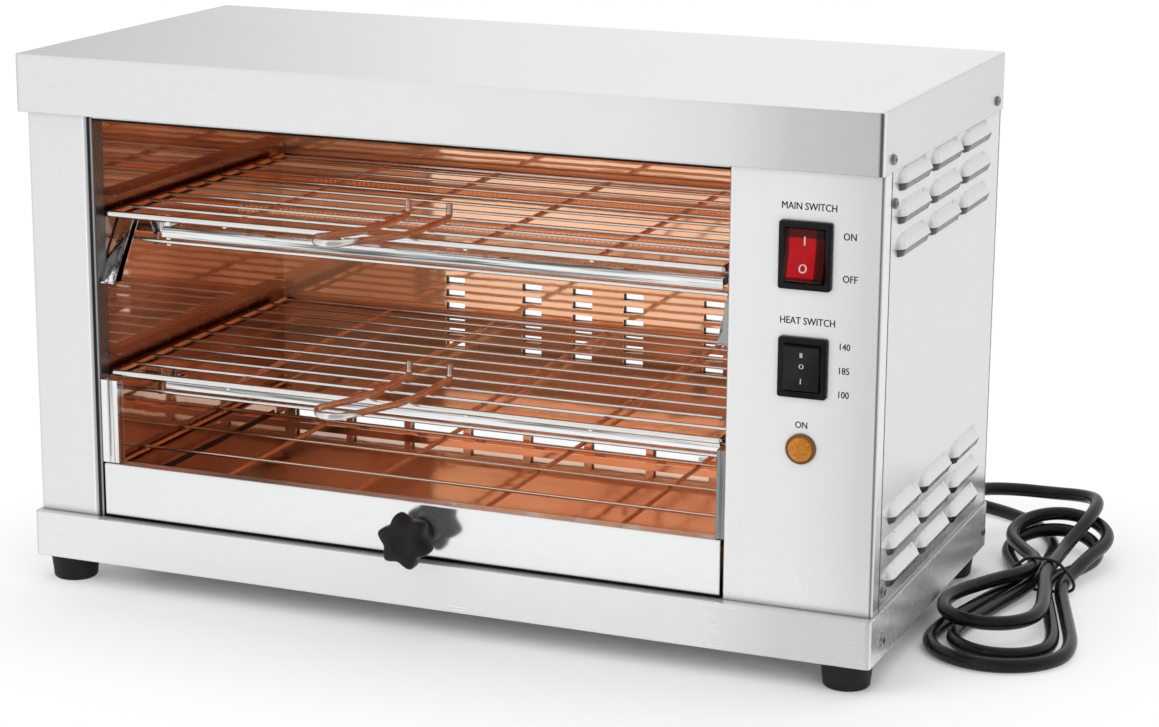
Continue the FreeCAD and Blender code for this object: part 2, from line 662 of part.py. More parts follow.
def make_cover():
    """The folded lid, with a return along its front lower edge."""
    body = new_body("top_cover")
    outer = box_outline("-half_wide", "half_wide", "-half_deep", "half_deep")
    pad(body, "z", [outer], "cover_bottom", "case_tall", "blank")
    corners = [(x, y) for x in ("-half_wide", "half_wide") for y in ("-half_deep", "half_deep")]
    round_edges(body, "z", corners, "corner_round", "corners")
    doc.recompute()
    base = body.Tip
    rim = [f"Edge{number}" for number, edge in enumerate(base.Shape.Edges, start=1)
           if all(abs(vertex.Point.z - size("case_tall")) < EPS for vertex in edge.Vertexes)]
    fillet = body.newObject("PartDesign::Fillet", "top_rim")
    fillet.Base = (base, rim)
    fillet.setExpression("Radius", bound("bend_round"))
    body.Tip = fillet
    doc.recompute()
    inner = box_outline("-half_wide + gauge", "half_wide - gauge", "-half_deep + gauge", "half_deep - gauge")
    pocket(body, "z", [inner], "cover_bottom + gauge", "case_tall - gauge", "hollow")
    doc.recompute()
    mouth = box_outline(
        "-half_wide + gauge", "half_wide - gauge", "-half_deep + gauge + cover_lip", "half_deep - gauge")
    pocket(body, "z", [mouth], "cover_bottom", "cover_bottom + gauge", "mouth")
    doc.recompute()
    holes = [(y, "cover_screw_z", "screw_hole") for y in ("-cover_screw_y", "cover_screw_y")]
    pocket(body, "x", [], "-half_wide", "half_wide", "screw_holes", holes)
    keep(body, "top_cover")


def make_front_sheet(label, outer, inner, hand, cutouts=(), circles=()):
    """A front sheet folded round its outer corner and back into the opening.

    hand is 1 where the outer corner lies to the right, and -1 to the left.
    """
    body = new_body(label)
    thick = "gauge" if hand > 0 else "-gauge"
    profile = [
        (outer, "body_front"), (outer, "body_front + corner_flange"),
        (f"{outer} - ({thick})", "body_front + corner_flange"), (f"{outer} - ({thick})", "cavity_front"),
        (f"{inner} + ({thick})", "cavity_front"), (f"{inner} + ({thick})", "body_front + jamb_deep"),
        (inner, "body_front + jamb_deep"), (inner, "body_front"),
    ]
    pad(body, "z", [profile], "base_top", "panel_top", "sheet")
    round_edges(body, "z", [(outer, "body_front"), (inner, "body_front")], "bend_round", "outer_bends")
    inside = [(f"{outer} - ({thick})", "cavity_front"), (f"{inner} + ({thick})", "cavity_front")]
    round_edges(body, "z", inside, "bend_round - gauge", "inner_bends")
    doc.recompute()
    if cutouts or circles:
        pocket(body, "y", list(cutouts), "body_front", "cavity_front", "control_cutouts", circles)
        doc.recompute()
    low, high = (f"{outer} - gauge", outer) if hand > 0 else (outer, f"{outer} + gauge")
    pocket(body, "x", [], low, high, "cover_screw_hole", [("-cover_screw_y", "cover_screw_z", "screw_hole")])
    keep(body, label)


def panel_louvre(hollow):
    """One louvre hood about the middle of its crest: it slopes in quickly to an open lip below.

    The sections are a flat-backed outline with rounded ends, deepest at the crest and shallow above.
    hollow makes the space inside the sheet instead, which also opens the panel behind the hood.
    """
    gauge, out = size("gauge"), size("louvre_out")
    skin = 0.8 * gauge if hollow else 0
    tall = size("louvre_tall") - skin
    half_long = size("louvre_long") / 2 - skin
    back = -gauge - 0.5 if hollow else -gauge / 2
    wires = []
    sections = ((-size("louvre_lip"), 0.5, 2), (0, 1, 0), (tall / 2, 0.6, 2), (tall, 0, 6))
    for height, share, inset in sections:
        depth = max(share * out - skin, 0.06)
        half = half_long - inset
        shoulder = min(2.2 * out, 0.4 * half)
        low = Vector(back, -half, height)
        high = Vector(back, half, height)
        bend, flat = half - 0.32 * shoulder, half - shoulder
        rise = 0.72 * depth
        left = Part.Arc(low, Vector(rise, -bend, height), Vector(depth, -flat, height))
        right = Part.Arc(Vector(depth, flat, height), Vector(rise, bend, height), high)
        crest = Part.LineSegment(left.EndPoint, right.StartPoint)
        base = Part.LineSegment(high, low)
        wires.append(Part.Wire([curve.toShape() for curve in (left, crest, right, base)]))
    return Part.makeLoft(wires, True, True)


def louvre_places():
    """Where the middle of each louvre crest lies, across the panel and up."""
    places = []
    for low in (size("louvre_foot"), size("louvre_head")):
        for row in range(3):
            for column in range(-1, 2):
                y = size("louvre_middle") + column * size("louvre_pitch_along")
                places.append((y, low + row * size("louvre_pitch_up")))
    return places


def make_side_panel(label, hand):
    """A side panel with a rear flange and two groups of nine pressed louvres."""
    face = "body_half" if hand > 0 else "-body_half"
    thick = "gauge" if hand > 0 else "-gauge"
    sheet_body = new_body(label + "_sheet")
    inner, flange = f"{face} - ({thick})", f"{face} - ({thick}) * sheet_flange / gauge"
    profile = [
        (face, "seam"), (face, "body_back - gauge"), (flange, "body_back - gauge"),
        (flange, "body_back - 2 * gauge"), (inner, "body_back - 2 * gauge"), (inner, "seam"),
    ]
    pad(sheet_body, "z", [profile], "base_top", "panel_top", "sheet")
    round_edges(sheet_body, "z", [(face, "body_back - gauge")], "bend_round", "bend")
    doc.recompute()
    levels = ("panel_screw_foot", "panel_screw_top")
    holes = [("seam + panel_screw_in", level, "screw_hole") for level in levels]
    holes.append(("cover_screw_y", "cover_screw_z", "screw_hole"))
    low, high = ("body_half - gauge", "body_half") if hand > 0 else ("-body_half", "-body_half + gauge")
    pocket(sheet_body, "x", [], low, high, "side_holes", holes)
    doc.recompute()
    across = f"{hand} * (body_half - rear_screw_in)"
    holes = [(across, level, "screw_hole") for level in (*levels, "rear_screw_middle")]
    pocket(sheet_body, "y", [], "body_back - 2 * gauge", "body_back - gauge", "rear_holes", holes)
    turn = FreeCAD.Rotation() if hand > 0 else FreeCAD.Rotation(Vector(0, 0, 1), 180)
    hoods = []
    hollows = []
    for y, level in louvre_places():
        place = FreeCAD.Placement(Vector(size(face), y, level), turn)
        for store, hollow in ((hoods, False), (hollows, True)):
            shape = panel_louvre(hollow)
            shape.Placement = place
            store.append(shape)
    hood_group = solid_feature(label + "_hoods", Part.makeCompound(hoods))
    hollow_group = solid_feature(label + "_hollows", Part.makeCompound(hollows))
    pressed = fuse(label + "_pressed", [sheet_body, hood_group])
    keep(cut(label, pressed, hollow_group), label)


def rear_vents(first_y, last_y, body):
    """Cuts the rows of short slots beside the lower deck and the long slots along the bottom."""
    columns = [
        "vent_middle - vent_far", "vent_middle - vent_near", "vent_middle",
        "vent_middle + vent_near", "vent_middle + vent_far",
    ]
    outlines = [
        box_outline(f"{x} - vent_wide / 2", f"{x} + vent_wide / 2", "vent_foot", "vent_foot + vent_tall")
        for x in columns
    ]
    short = pocket(body, "y", outlines, first_y, last_y, "short_slots")
    doc.recompute()
    row_of(body, [short], "z", "5 * vent_pitch", 6, "short_rows")
    doc.recompute()
    start = "(jamb_left + jamb_right) / 2 - 4 * slot_pitch"
    outline = box_outline(f"{start} - slot_wide / 2", f"{start} + slot_wide / 2",
                          "slot_foot", "slot_foot + slot_tall")
    long = pocket(body, "y", [outline], first_y, last_y, "long_slot")
    doc.recompute()
    row_of(body, [long], "x", "8 * slot_pitch", 9, "long_row")
    doc.recompute()


def make_rear_panel():
    body = new_body("rear_panel")
    outline = box_outline("-body_half", "body_half", "base_top", "panel_top")
    pad(body, "y", [outline], "body_back - gauge", "body_back", "sheet")
    doc.recompute()
    rear_vents("body_back - gauge", "body_back", body)
    holes = [
        (x, z, "screw_hole")
        for x in ("-body_half + rear_screw_in", "body_half - rear_screw_in")
        for z in ("panel_screw_foot", "rear_screw_middle", "panel_screw_top")
    ]
    pocket(body, "y", [], "body_back - gauge", "body_back", "screw_holes", holes)
    keep(body, "rear_panel")


def make_lintel():
    """The folded rail over the opening, behind the skirt of the cover."""
    body = new_body("front_lintel")
    profile = [
        ("body_front", "lintel_bottom"), ("body_front + sheet_flange", "lintel_bottom"),
        ("body_front + sheet_flange", "lintel_bottom + gauge"), ("cavity_front", "lintel_bottom + gauge"),
        ("cavity_front", "panel_top"), ("body_front", "panel_top"),
    ]
    pad(body, "x", [profile], "jamb_left", "jamb_right", "rail")
    round_edges(body, "x", [("body_front", "lintel_bottom")], "bend_round", "bend")
    keep(body, "front_lintel")


# Cavity

def make_cavity_side(label, face, hand):
    """A cavity wall, flanged at the front, with the holes that the quartz tubes pass through."""
    body = new_body(label)
    out = "gauge" if hand > 0 else "-gauge"
    outer, flange = f"{face} + ({out})", f"{face} + ({out}) * sheet_flange"
    profile = [
        (face, "cavity_front"), (face, "cavity_back"), (outer, "cavity_back"),
        (outer, "cavity_front + gauge"), (flange, "cavity_front + gauge"), (flange, "cavity_front"),
    ]
    pad(body, "z", [profile], "base_top", "ceiling + gauge", "sheet")
    round_edges(body, "z", [(face, "cavity_front")], "bend_round", "fold")
    doc.recompute()
    holes = [
        (y, level, "tube_hole")
        for y in ("front_tube_y", "rear_tube_y")
        for level in ("top_tube_z", "middle_tube_z")
    ]
    low, high = (face, f"{face} + gauge") if hand > 0 else (f"{face} - gauge", face)
    pocket(body, "x", [], low, high, "tube_holes", holes)
    keep(body, label)


def make_cavity_rear():
    body = new_body("cavity_rear_wall")
    outline = box_outline("wall_left - gauge", "wall_right + gauge", "base_top", "ceiling + gauge")
    pad(body, "y", [outline], "cavity_back", "cavity_back + gauge", "sheet")
    doc.recompute()
    rear_vents("cavity_back", "cavity_back + gauge", body)
    keep(body, "cavity_rear_wall")


def make_cavity_ceiling():
    """The polished sheet above the top tubes, turned up along the rear wall."""
    body = new_body("cavity_ceiling")
    above, rim = "ceiling + gauge", "ceiling + gauge + sheet_flange"
    profile = [
        ("cavity_front", "ceiling"), ("cavity_back", "ceiling"), ("cavity_back", rim),
        ("cavity_back - gauge", rim), ("cavity_back - gauge", above), ("cavity_front", above),
    ]
    pad(body, "x", [profile], "wall_left", "wall_right", "sheet")
    doc.recompute()
    notches = [
        box_outline(low, high, "cavity_front", "body_front + jamb_deep + press_gap")
        for low, high in (("wall_left", "jamb_left"), ("jamb_right", "wall_right"))
    ]
    pocket(body, "z", notches, "ceiling", "ceiling + gauge", "jamb_notches")
    keep(body, "cavity_ceiling")


def make_cavity_floor():
    """The sheet under the crumb tray, carried by the flanges of the base pan."""
    body = new_body("cavity_floor")
    front, notch = "cavity_front + gauge", "body_front + jamb_deep + press_gap"
    outline = [
        ("jamb_left", front), ("jamb_right", front), ("jamb_right", notch), ("wall_right", notch),
        ("wall_right", "cavity_back"), ("wall_left", "cavity_back"),
        ("wall_left", notch), ("jamb_left", notch),
    ]
    pad(body, "z", [outline], "base_top", "floor_top", "sheet")
    keep(body, "cavity_floor")


# Runners, braces and uprights

def make_runner(label, web, hand, level):
    """A channel on a cavity wall, open to the middle, in which a side of the grid slides."""
    body = new_body(label)
    tip = f"{web} + {hand} * runner_deep"
    inner = f"{web} + {hand} * liner"
    low = f"{level} - frame_rod / 2 - press_gap - liner"
    high = f"{low} + runner_tall"
    profile = [
        (web, low), (tip, low), (tip, f"{low} + liner"), (inner, f"{low} + liner"),
        (inner, f"{high} - liner"), (tip, f"{high} - liner"), (tip, high), (web, high),
    ]
    pad(body, "y", [profile], "runner_front", "runner_end", "channel")
    keep(body, label)


def make_brace(label, jamb, hand, wide):
    """A polished channel that leans from the upper runner down to its foot on the jamb."""
    body = new_body(label)
    head = "upper_grid_z - frame_rod / 2 - 2 * press_gap - liner"
    foot_y = "runner_front - press_gap - brace_thick"
    far = f"{jamb} + {hand} * {wide}"
    low, high = (jamb, far) if hand > 0 else (far, jamb)
    lean = f"{foot_y} + brace_lean"
    outline = [
        (foot_y, "brace_low"), (f"{foot_y} + brace_thick", "brace_low"),
        (f"{lean} + brace_thick", head), (lean, head),
    ]
    pad(body, "x", [outline], low, high, "bar")
    doc.recompute()
    skin = "liner * 1.25"
    trough = [
        (f"{foot_y} + {skin}", "brace_low"), (f"{foot_y} + brace_thick - {skin}", "brace_low"),
        (f"{lean} + brace_thick - {skin}", head), (f"{lean} + {skin}", head),
    ]
    span = (f"{low} + liner", high) if hand > 0 else (low, f"{high} - liner")
    pocket(body, "x", [trough], *span, "trough")
    doc.recompute()
    plate = box_outline(f"{foot_y} - 1", f"{foot_y} + brace_thick + 1", "brace_low - liner", "brace_low")
    pad(body, "x", [plate], low, high, "foot_plate")
    return body


def make_upright(label, jamb, hand, wide):
    """A polished channel beside the lower deck, from above the tray front to the lower runner."""
    body = new_body(label)
    far = f"{jamb} + {hand} * {wide}"
    front = "body_front + liner + press_gap"
    back = f"{front} + upright_deep"
    profile = [
        (jamb, front), (far, front), (far, back), (f"{far} - {hand} * liner", back),
        (f"{far} - {hand} * liner", f"{front} + liner"), (f"{jamb} + {hand} * liner", f"{front} + liner"),
        (f"{jamb} + {hand} * liner", back), (jamb, back),
    ]
    top = "lower_grid_z - frame_rod / 2 - 2 * press_gap - liner"
    pad(body, "z", [profile], "tray_top + 2 * press_gap", top, "channel")
    doc.recompute()
    middle = f"{jamb} + {hand} * {wide} / 2"
    groove = box_outline(f"{middle} - liner / 2", f"{middle} + liner / 2", front, f"{front} + liner / 2")
    pocket(body, "z", [groove], "tray_top + 2 * press_gap + 4", top, "groove")
    return body


def make_cross_bar(prefix, level):
    """The polished strip under the front of a grid; returns the thin rod below it and the end brackets."""
    left = "wall_left + bar_left_stand"
    right = "wall_right - bar_right_stand"
    body = new_body(prefix + "_cross_bar")
    back = "bar_y + bar_deep"
    profile = [
        ("bar_y", f"{level} - bar_tall / 2"), (back, f"{level} - bar_tall / 2"),
        (back, f"{level} - bar_tall / 2 + liner"), ("bar_y + liner", f"{level} - bar_tall / 2 + liner"),
        ("bar_y + liner", f"{level} + bar_tall / 2 - liner"), (back, f"{level} + bar_tall / 2 - liner"),
        (back, f"{level} + bar_tall / 2"), ("bar_y", f"{level} + bar_tall / 2"),
    ]
    pad(body, "x", [profile], left, right, "strip")
    round_edges(body, "x", [("bar_y", f"{level} - bar_tall / 2"), ("bar_y", f"{level} + bar_tall / 2")],
                "liner", "bends")
    keep(body, prefix + "_cross_bar")

    rod_y = "bar_y + bar_deep"
    rod_level = f"{level} - guard_drop"
    guard = rod(prefix + "_guard_rod", "x", "guard_rod", "wall_left + press_gap", "wall_right - press_gap",
                (rod_y, rod_level))

    web = ("bracket_y", "bracket_y + 1.6 * liner")
    heights = (f"{level} - bar_tall / 2", f"{level} + bar_tall / 2")
    brackets = []
    for hand, wall, stand in ((1, "wall_left", "bar_left_stand"), (-1, "wall_right", "bar_right_stand")):
        side = "left" if hand > 0 else "right"
        reach = f"{wall} + {hand} * ({stand} + bracket_past)"
        spans = [
            ("web", (wall, reach), web, heights),
            ("flange", (wall, f"{wall} + {hand} * liner"), (web[0], "bracket_y + bracket_flange"), heights),
            ("arm", (reach, f"{reach} - {hand} * finger_wide"), (f"{back} + press_gap", web[1]), heights),
        ]
        if hand > 0:
            for number, inset in enumerate((5, 14)):
                start = f"{wall} + {stand} - {inset}"
                spans.append((f"finger_{number}", (start, f"{start} + finger_wide"), web,
                              (f"{level} - finger_down", f"{level} + finger_up")))
        solids = []
        for name, xs, ys, zs in spans:
            ordered = xs if size(xs[0]) < size(xs[1]) else xs[::-1]
            solids.append(block(f"{prefix}_{side}_{name}", ordered, ys, zs))
        brackets.append(fuse(f"{prefix}_{side}_bracket", solids))
    return guard, brackets


# Heating elements

def make_tubes(prefix, level, tubes, cores, caps):
    """A pair of quartz tubes across the cavity, with ceramic caps outside its walls."""
    for name, y in (("front", "front_tube_y"), ("rear", "rear_tube_y")):
        span = ("wall_left - gauge - tube_past", "wall_right + gauge + tube_past")
        outer = rod(f"{prefix}_{name}_tube", "x", "tube_dia", *span, (y, level))
        inner = rod(f"{prefix}_{name}_bore", "x", "tube_dia - 2 * tube_wall", *span, (y, level))
        tubes.append(cut(f"{prefix}_{name}_quartz", outer, inner))
        cores.append(rod(f"{prefix}_{name}_core", "x", "core_dia", *span, (y, level)))
        for side, hand, wall in (("left", -1, "wall_left - gauge"), ("right", 1, "wall_right + gauge")):
            near = f"{wall} + {hand} * press_gap"
            far = f"{near} + {hand} * cap_long"
            low, high = (far, near) if hand < 0 else (near, far)
            cap = f"{prefix}_{name}_{side}"
            brick = block(cap + "_brick", (low, high), (f"{y} - cap_side / 2", f"{y} + cap_side / 2"),
                          (f"{level} - cap_side / 2", f"{level} + cap_side / 2"))
            ends = (f"{wall} - tube_past", near) if hand < 0 else (near, f"{wall} + tube_past")
            seat = rod(cap + "_seat", "x", "tube_dia + press_gap", *ends, (y, level))
            caps.append(cut(cap + "_cap", brick, seat))


# Grids, handles and the coarse rack

def make_grid(label, level_name):
    """A welded grid: a frame of thick rod, rods from front to back and thin wires across them."""
    level = size(level_name)
    left, right = size("grid_left"), size("grid_right")
    deep = size("grid_reach")
    frame_r, depth_r, wire_r = size("frame_rod") / 2, size("depth_rod") / 2, size("cross_wire") / 2
    sink = size("weld_sink")
    along, back = Vector(1, 0, 0), Vector(0, 1, 0)
    solids = []
    for y in (-deep, deep):
        solids.append(axis_cylinder(Vector(left, y, level), along, frame_r, right - left))
    for x in (left, right):
        solids.append(axis_cylinder(Vector(x, -deep, level), back, frame_r, 2 * deep))
        for y in (-deep, deep):
            solids.append(Part.makeSphere(frame_r, Vector(x, y, level)))
    spaces = 5
    for step in range(1, spaces):
        x = left + (right - left) * step / spaces
        solids.append(axis_cylinder(Vector(x, -deep, level - depth_r), back, depth_r, 2 * deep))
    rows = 10
    for step in range(1, rows):
        y = -deep + 2 * deep * step / rows
        solids.append(axis_cylinder(Vector(left, y, level + wire_r - sink), along, wire_r, right - left))
    keep(solid_feature(label, solids[0].fuse(solids[1:])), label)


def make_grid_handle(label, level_name):
    """A bent rod: its two legs lie on the grid, turn up behind, and meet in a raised loop."""
    level = size(level_name)
    thick = size("frame_rod")
    lie = level + thick + 0.1
    half = size("handle_wide") / 2
    middle = size("handle_middle")
    hook, tall = -size("hook_back"), size("hook_tall")
    front = -size("grid_reach")
    reach, rise = -size("handle_reach"), size("handle_rise")
    slope = rise / (front - reach - half)
    bend_y = reach + half
    side = [(hook, level + tall), (hook, lie), (front - thick, lie), (bend_y, lie + slope * (front - bend_y))]
    left = [Vector(middle - half, y, z) for y, z in side]
    right = [Vector(middle + half, y, z) for y, z in side]
    corner = 0.42 * half
    tip_z = lie + rise
    turn = [Vector(middle - corner, reach, tip_z), Vector(middle + corner, reach, tip_z)]
    points = left + turn + right[::-1]
    bend = 0.9 * thick
    radii = {1: bend, len(points) - 2: bend}
    shape, wire, used = bent_tube(points, thick, radii)
    keep(solid_feature(label, shape), label)


def make_rack():
    """The coarse wire rack over the crumb tray, lying in a ledge on each cavity wall."""
    rod_r, wire_r = size("rack_rod") / 2, size("rack_wire") / 2
    level = size("ledge_z + liner") + 0.1 + rod_r
    left = size("wall_left + liner + press_gap") + rod_r
    right = size("wall_right - liner - press_gap") - rod_r
    front, back = size("runner_front"), size("cavity_back - 2")
    solids = []
    middle, pitch = size("rack_middle"), size("rack_pitch")
    places = [left, right] + [middle + step * pitch for step in (-1.5, -0.5, 0.5, 1.5)]
    for x in places:
        solids.append(axis_cylinder(Vector(x, front, level), Vector(0, 1, 0), rod_r, back - front))
    for step in range(4):
        y = size("rack_first_wire") + step * size("rack_wire_pitch")
        wire_level = level + rod_r + wire_r - size("weld_sink")
        solids.append(axis_cylinder(Vector(left, y, wire_level), Vector(1, 0, 0), wire_r, right - left))
    keep(solid_feature("bottom_rack", solids[0].fuse(solids[1:])), "bottom_rack")
    ledges = []
    for name, hand, wall in (("left", 1, "wall_left"), ("right", -1, "wall_right")):
        body = new_body(f"{name}_ledge")
        tip, inner = f"{wall} + {hand} * ledge_side", f"{wall} + {hand} * liner"
        profile = [
            (wall, "ledge_z"), (tip, "ledge_z"), (tip, "ledge_z + liner"), (inner, "ledge_z + liner"),
            (inner, "ledge_z + ledge_side"), (wall, "ledge_z + ledge_side"),
        ]
        pad(body, "y", [profile], "runner_front", "runner_end", "angle")
        ledges.append(body)
    keep(group("rack_ledges", ledges), "rack_ledges")


# Crumb tray

def make_tray():
    """The pan that slides on the cavity floor, and the folded front that closes the opening."""
    pan = new_body("crumb_tray")
    top = "tray_floor + tray_wall"
    left, right = "tray_left + gauge", "tray_right - gauge"
    pad(pan, "z", [box_outline(left, right, "cavity_front", "tray_end")], "tray_floor", top, "blank")
    doc.recompute()
    inner = box_outline(f"{left} + liner", f"{right} - liner", "cavity_front + liner", "tray_end - liner")
    pocket(pan, "z", [inner], "tray_floor + liner", top, "hollow")
    doc.recompute()
    low_lip = box_outline(f"{left} + liner", f"{right} - liner", "tray_end - liner", "tray_end")
    pocket(pan, "z", [low_lip], "tray_floor + liner + tray_lip", top, "rear_edge")
    keep(pan, "crumb_tray")

    front = new_body("tray_front")
    pad(front, "z", [box_outline("tray_left", "tray_right", "body_front", "body_front + tray_fold")],
        "tray_bottom", "tray_top", "blank")
    corners = [("body_front", "tray_bottom"), ("body_front", "tray_top")]
    round_edges(front, "x", corners, "bend_round - liner / 2", "bends")
    doc.recompute()
    hollow = box_outline("tray_left + gauge", "tray_right - gauge", "tray_bottom", "tray_top - gauge")
    pocket(front, "y", [hollow], "cavity_front", "body_front + tray_fold", "hollow")
    doc.recompute()
    stud_hole = [("knob_right", "knob_z", "stud_dia + stud_play")]
    pocket(front, "y", [], "body_front", "cavity_front", "stud_hole", stud_hole)
    keep(front, "tray_front")

    stud_ends = ("body_front - knob_hub_long + stud_short", "cavity_front + stud_tail")
    shank = rod("stud_rod", "y", "stud_dia", *stud_ends, ("knob_right", "knob_z"))
    nut = doc.addObject("Part::Prism", "stud_nut")
    nut.Polygon = 6
    nut.Placement = FreeCAD.Placement(Vector(), TURNS["y"])
    nut.setExpression("Circumradius", bound("stud_nut / 2 / cos(30)"))
    nut.setExpression("Height", bound("nut_tall"))
    nut.setExpression("Placement.Base.x", bound("knob_right"))
    nut.setExpression("Placement.Base.y", bound("cavity_front"))
    nut.setExpression("Placement.Base.z", bound("knob_z"))
    keep(fuse("tray_stud", [shank, nut]), "tray_stud")


def make_knob():
    """A star knob: lobes round a disc, with hollows between them, a dished face and a long hub."""
    outer = size("knob_dia") / 2
    lobe = size("knob_lobe")
    thick = size("knob_thick")
    count = int(size("knob_lobes"))
    orbit = outer - lobe
    y_face = size("body_front - press_gap - knob_hub_long - knob_thick")
    middle = Vector(size("knob_right"), y_face, size("knob_z"))
    ahead = Vector(0, 1, 0)
    star = axis_cylinder(middle, ahead, orbit, thick)
    for step in range(count):
        angle = 2 * math.pi * step / count + math.pi / 2
        centre = middle + Vector(orbit * math.cos(angle), 0, orbit * math.sin(angle))
        star = star.fuse(axis_cylinder(centre, ahead, lobe, thick))
    hollows = []
    for step in range(count):
        angle = 2 * math.pi * (step + 0.5) / count + math.pi / 2
        spot = outer + 0.35 * lobe
        centre = middle + Vector(spot * math.cos(angle), -1, spot * math.sin(angle))
        hollows.append(axis_cylinder(centre, ahead, 1.02 * lobe, thick + 2))
    star = star.cut(Part.makeCompound(hollows)).removeSplitter()
    rims = [edge for edge in star.Edges if abs(edge.BoundBox.YMax - edge.BoundBox.YMin) < EPS
            and abs(edge.BoundBox.YMin - y_face) < EPS]
    star = star.makeFillet(size("knob_rim"), rims)
    dish = Part.makeCone(size("dish_dia") / 2, size("dish_floor") / 2, size("dish_deep"), middle, ahead)
    star = star.cut(dish)
    hub_start = middle + ahead * (thick - 1)
    hub_dia, hub_long = size("knob_hub_dia"), size("knob_hub_long")
    hub = Part.makeCone(0.62 * hub_dia, hub_dia / 2, hub_long + 1, hub_start, ahead)
    bore = axis_cylinder(hub_start, ahead, size("stud_dia") / 2 + 0.05, hub_long + 2)
    shape = star.fuse(hub).cut(bore)
    keep(solid_feature("tray_knob", shape), "tray_knob")


# Controls

def make_switch(prefix, level):
    """A switch housing with its bezel and walled socket, and the rocker that turns in it."""
    body = new_body(prefix + "_housing")
    wide, tall = f"{prefix}_rocker_wide", f"{prefix}_rocker_tall"
    middle = "switch_x"
    half_w = f"({wide} / 2 + press_gap)"
    half_t = f"({tall} / 2 + press_gap)"
    face = box_outline(f"{middle} - {prefix}_wide / 2", f"{middle} + {prefix}_wide / 2",
                       f"{level} - {prefix}_tall / 2", f"{level} + {prefix}_tall / 2")
    pad(body, "y", [face], "bezel_face", "body_front", "bezel")
    rim = [(x, z) for x in (f"{middle} - {prefix}_wide / 2", f"{middle} + {prefix}_wide / 2")
           for z in (f"{level} - {prefix}_tall / 2", f"{level} + {prefix}_tall / 2")]
    round_edges(body, "y", rim, "bezel_round", "corners")
    doc.recompute()
    trunk = box_outline(f"{middle} - {half_w} - switch_wall", f"{middle} + {half_w} + switch_wall",
                        f"{level} - {half_t} - switch_wall / 2", f"{level} + {half_t} + switch_wall / 2")
    pad(body, "y", [trunk], "body_front", "body_front + switch_deep", "trunk")
    doc.recompute()
    left, right = f"{middle} - {half_w}", f"{middle} + {half_w}"
    socket = box_outline(left, right, f"{level} - {half_t}", f"{level} + {half_t}")
    pocket(body, "y", [socket], "bezel_face", "pivot_y + rocker_back + socket_spare", "socket")
    doc.recompute()
    pocket(body, "x", [], f"{left} - trunnion_long - press_gap", f"{right} + trunnion_long + press_gap",
           "trunnion_holes", [("pivot_y", level, "trunnion_dia + 2 * trunnion_fit")])
    keep(body, prefix + "_housing")

    rocker = new_body(prefix + "_rocker")
    radius = size(tall) / 2
    crown, valley, back = size("rocker_crown"), size("rocker_valley"), size("rocker_back")
    sketch = sketch_on(rocker, "x", f"-{wide} / 2", "profile")
    end = math.sqrt(radius ** 2 - crown ** 2)
    foot = math.sqrt(radius ** 2 - back ** 2)
    corners = [
        Vector(-crown, end, 0), Vector(-valley, 0, 0), Vector(-crown, -end, 0),
        Vector(back, -foot, 0), Vector(back, foot, 0),
    ]
    sketch.addGeometry(Part.LineSegment(corners[0], corners[1]), False)
    sketch.addGeometry(Part.LineSegment(corners[1], corners[2]), False)
    sketch.addGeometry(Part.Arc(corners[2], Vector(0, -radius, 0), corners[3]), False)
    sketch.addGeometry(Part.LineSegment(corners[3], corners[4]), False)
    sketch.addGeometry(Part.Arc(corners[4], Vector(0, radius, 0), corners[0]), False)
    blank = rocker.newObject("PartDesign::Pad", "blank")
    blank.Profile = sketch
    blank.setExpression("Length", bound(wide))
    doc.recompute()
    reach = f"{wide} / 2 + trunnion_long"
    pad(rocker, "x", [], f"-({reach})", reach, "trunnions", [("0", "0", "trunnion_dia")])
    keep(rocker, prefix + "_rocker")
    return rocker


def place_rocker(rocker, level, tilt):
    """Sets a rocker on its pivot, leaning by tilt degrees, top edge inwards."""
    rocker.Placement = FreeCAD.Placement(Vector(), FreeCAD.Rotation(Vector(1, 0, 0), 1))
    rocker.setExpression("Placement.Base.x", bound("switch_x"))
    rocker.setExpression("Placement.Base.y", bound("pivot_y + case_shift"))
    rocker.setExpression("Placement.Base.z", bound(level))
    rocker.setExpression("Placement.Rotation.Angle", bound(f"-({tilt})"))


